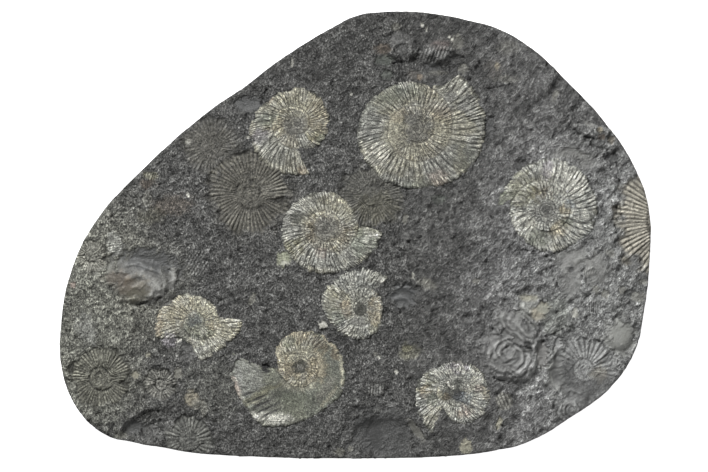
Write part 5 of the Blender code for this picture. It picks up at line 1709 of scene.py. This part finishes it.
def zone_colours(x, y, bent):
    """The shale's own colour: lighter on the right, olive grey on the left, darker at the top."""
    to_right = smooth(x + bent, *RIGHT_ZONE) * mix(0.4, 1.0, smooth(y + bent, *RIGHT_FADE))
    to_left = smooth(x + bent, *LEFT_ZONE) * smooth(y + bent, *LEFT_LOW) * smooth(y, *LEFT_TOP)
    colours = mix(SHALE, SHALE_RIGHT, to_right[:, None])
    colours = mix(colours, SHALE_LEFT, to_left[:, None])
    clouds = CLOUD * waves(x, y, CLOUD_SIZE, 4, seed=51.0)
    return colours * np.exp(clouds - TOP_DARK * smooth(y, *TOP_ZONE))[:, None]


def side_share(z, depth):
    """1 on the plate's sides and its underside, and 0 on its face."""
    wall = smooth(z, BEDDING_PLANE - 0.5, BEDDING_PLANE - 2.5) * smooth(depth, RIM_WIDTH, RIM_WIDTH - 0.5)
    return np.maximum(wall, smooth(z, *UNDERSIDE))


def paint_plate(obj):
    x, y, z = mesh_points(obj).T
    bent = ZONE_BEND * waves(x, y, ZONE_LENGTH, 3, seed=50.0)
    colours = zone_colours(x, y, bent)
    paint(colours, PLATE_PATCHES, x, y)
    _, light, marks = print_fields(x, y)
    for near, shown, mark in marks:
        tone = mark.tone if isinstance(mark, Print) else 1.0
        cover = np.clip(shown * tone, 0.0, 1.0)[:, None]
        colours[near] = mix(colours[near], PALETTE[mark.colour], cover)
    left = calmed(kept(PLATE_PATCHES, x, y)[0], marks, PRINT_CALM)
    # painted highlight and shade on the ribs of the prints, scraps and rings and on the crinkles and
    # folds; the speckle is the stone's own grain
    light = PRINT_LIGHT * light + SPECKLE * left * waves(x, y, SPECKLE_SIZE, 3, seed=52.0)
    light += CRINKLE_LIGHT * left * (crinkles(x, y) - CRINKLE_MIDDLE)
    light += FOLD_LIGHT * (fold_rise(x, y) - 0.15)
    # painted shade in the cracks
    colours *= (np.exp(light) * (1.0 - CRACK_SHADE * crack_share(x, y)[1]))[:, None]
    depth = depth_inside(OUTLINE, x, y)
    layers = waves(BED_FLATNESS * x, BED_FLATNESS * y + z, BED_LENGTH, 3, seed=53.0)
    side = side_share(z, depth)
    colours = mix(colours, SHALE * np.exp(BED_LIGHT * layers)[:, None], side[:, None])
    edge = smooth(depth, RIM_WIDTH, 0.0) * (1.0 - side)
    ground = 1.0 - RIM_DARK * edge
    write_colours(obj, colours * ground[:, None])
    write_share(obj, "rough", np.clip(left * ground, 0.0, 1.0))
    write_share(obj, "slant", smooth(x + bent, *SLANTING_FROM))


# %% [markdown]
# ## The finish of the plate
# Close up, broken shale glitters in short flecks and has thin bright edges and dark splits, all painted
# into its colour: the flecks are grain and painted glints, the edges a painted highlight and the splits
# painted shade. The flecks lie upright on the left and slant on the right, so two stretched noises are
# mixed by a share that the mesh keeps. A bent line is where a noise passes one half. Where the face is
# smooth, all of it fades.

# %% The plate's grains
UPRIGHT_FLECKS = {"size": 0.8, "detail": 3.0, "stretch": (1.0, 1.7, 1.0)}
SLANTING_FLECKS = {"size": 0.7, "detail": 3.0, "stretch": (2.4, 1.0, 1.0), "turn": 54.0}
HIGHLIT_EDGES = {"size": 5.5, "detail": 3.0, "stretch": (1.6, 1.0, 1.0), "turn": 50.0}
SHADED_SPLITS = {"size": 7.0, "detail": 4.0, "stretch": (1.4, 1.0, 1.0), "turn": 35.0}
FLECK_STRENGTH, SLANTING_STRENGTH = 9.0, 6.0
PIT_SIZE, PIT_STRENGTH = 2.1, 3.0
EDGE_WIDTH, SPLIT_WIDTH = 0.035, 0.022  # how far from one half the noise may be
LINE_HEIGHT, SHALE_GRAIN_DEPTH = 0.16, 2.2
SMOOTH_GRAIN = 0.1  # what the smoothest places keep of the grain


def thin_lines(tree, noise_value, width):
    """1 where a noise passes one half, which runs along thin bent lines, and 0 away from them."""
    away = arithmetic(tree, "ABSOLUTE", centred(tree, noise_value))
    return arithmetic(tree, "MAXIMUM", arithmetic(tree, "MULTIPLY_ADD", away, -1.0 / width, 1.0), 0.0)


def fleck_noise(tree, place, slant):
    """Upright flecks on the left and slanting ones on the right."""
    choice = add_node(tree, "ShaderNodeMix", data_type="FLOAT")
    tree.links.new(slant, choice.inputs["Factor"])
    tree.links.new(grain_noise(tree, place, **UPRIGHT_FLECKS), choice.inputs["A"])
    tree.links.new(grain_noise(tree, place, **SLANTING_FLECKS), choice.inputs["B"])
    return choice.outputs["Result"]


def bent_lines(tree, place):
    """Painted highlights along thin edges less painted shade in thin splits."""
    edges = thin_lines(tree, grain_noise(tree, place, **HIGHLIT_EDGES), EDGE_WIDTH)
    splits = thin_lines(tree, grain_noise(tree, place, **SHADED_SPLITS), SPLIT_WIDTH)
    return arithmetic(tree, "SUBTRACT", edges, splits)


def shale_material():
    material, tree, shader = new_material("split_shale", 0.46)
    place = object_places(tree)
    slant = mesh_share(tree, "slant")
    flecks, lines = fleck_noise(tree, place, slant), bent_lines(tree, place)
    pits = grain_noise(tree, place, PIT_SIZE, 4.0)
    grain = arithmetic(tree, "MULTIPLY_ADD", slant, SLANTING_STRENGTH - FLECK_STRENGTH, FLECK_STRENGTH)
    light = arithmetic(tree, "MULTIPLY", centred(tree, flecks), grain)
    light = arithmetic(tree, "ADD", light, doublings(tree, pits, PIT_STRENGTH))
    light = arithmetic(tree, "ADD", light, lines)
    calm = arithmetic(tree, "MULTIPLY_ADD", mesh_share(tree, "rough"), 1.0 - SMOOTH_GRAIN, SMOOTH_GRAIN)
    scaled_tint(tree, shader, arithmetic(tree, "POWER", 2.0, arithmetic(tree, "MULTIPLY", light, calm)))
    height = arithmetic(tree, "MULTIPLY", lines, LINE_HEIGHT)
    height = arithmetic(tree, "ADD", arithmetic(tree, "ADD", flecks, pits), height)
    add_bump(tree, shader, arithmetic(tree, "MULTIPLY", height, calm), SHALE_GRAIN_DEPTH)
    return material


plate = plate_object()
paint_plate(plate)
place_piece(plate, "shale_slab", "shale", shale_material())

# %% [markdown]
# ## Table, light and camera
# The photograph looks straight down on the plate from far away, in the even white light of a photo
# table, with a little more light from the upper left. A large soft lamp there and a pale sky give the
# same: the ribs have a bright and a dark side, and no shadow falls beside the plate.

# %% Stage
VIEW_WIDTH = 407.8  # mm that the picture's width covers on the plate's face
VIEW_CENTRE = (-0.6, -0.6)
CAMERA_HEIGHT = 1500.0  # mm over the face
SENSOR = 36.0
LAMP_PLACE = Vector((-0.6, 1.0, 0.95))  # in metres, like the lamp's and the table's size
LAMP_SIZE, LAMP_POWER = 0.55, 28.0
SKY_STRENGTH = 0.3
TABLE_SIZE, TABLE_GREY, TABLE_GLOW = 3.0, 0.82, 0.95
TABLE_GAP = 0.2  # mm under the plate


def make_floor():
    bm = bmesh.new()
    bmesh.ops.create_grid(bm, x_segments=1, y_segments=1, size=TABLE_SIZE)
    bmesh.ops.translate(bm, vec=(0.0, 0.0, -TABLE_GAP * MM), verts=bm.verts)
    floor = finished_object("photo_table", bm)
    material, _, shader = new_material("pale_table", 0.9)
    shader.inputs["Base Color"].default_value = (TABLE_GREY, TABLE_GREY, TABLE_GREY, 1.0)
    shader.inputs["Emission Color"].default_value = (1.0, 1.0, 1.0, 1.0)
    shader.inputs["Emission Strength"].default_value = TABLE_GLOW
    floor.data.materials.append(material)


def make_lamp():
    lamp = bpy.data.lights.new("window_lamp", "AREA")
    lamp.size = LAMP_SIZE
    lamp.energy = LAMP_POWER
    holder = bpy.data.objects.new("window_lamp", lamp)
    holder.location = LAMP_PLACE
    holder.rotation_euler = (-LAMP_PLACE).to_track_quat("-Z", "Y").to_euler()
    bpy.context.scene.collection.objects.link(holder)


def make_sky():
    world = bpy.data.worlds.new("soft_sky")
    world.use_nodes = True
    background = world.node_tree.nodes["Background"]
    background.inputs["Color"].default_value = (1.0, 1.0, 1.0, 1.0)
    background.inputs["Strength"].default_value = SKY_STRENGTH
    bpy.context.scene.world = world


def make_camera():
    camera = bpy.data.cameras.new("overhead_camera")
    camera.sensor_width = SENSOR
    camera.lens = SENSOR * CAMERA_HEIGHT / VIEW_WIDTH
    camera.clip_end = 20.0
    holder = bpy.data.objects.new("overhead_camera", camera)
    height = BEDDING_PLANE + CAMERA_HEIGHT
    holder.location = (VIEW_CENTRE[0] * MM, VIEW_CENTRE[1] * MM, height * MM)
    bpy.context.scene.collection.objects.link(holder)
    bpy.context.scene.camera = holder
    bpy.context.scene.view_settings.view_transform = "Standard"


make_floor()
make_lamp()
make_sky()
make_camera()
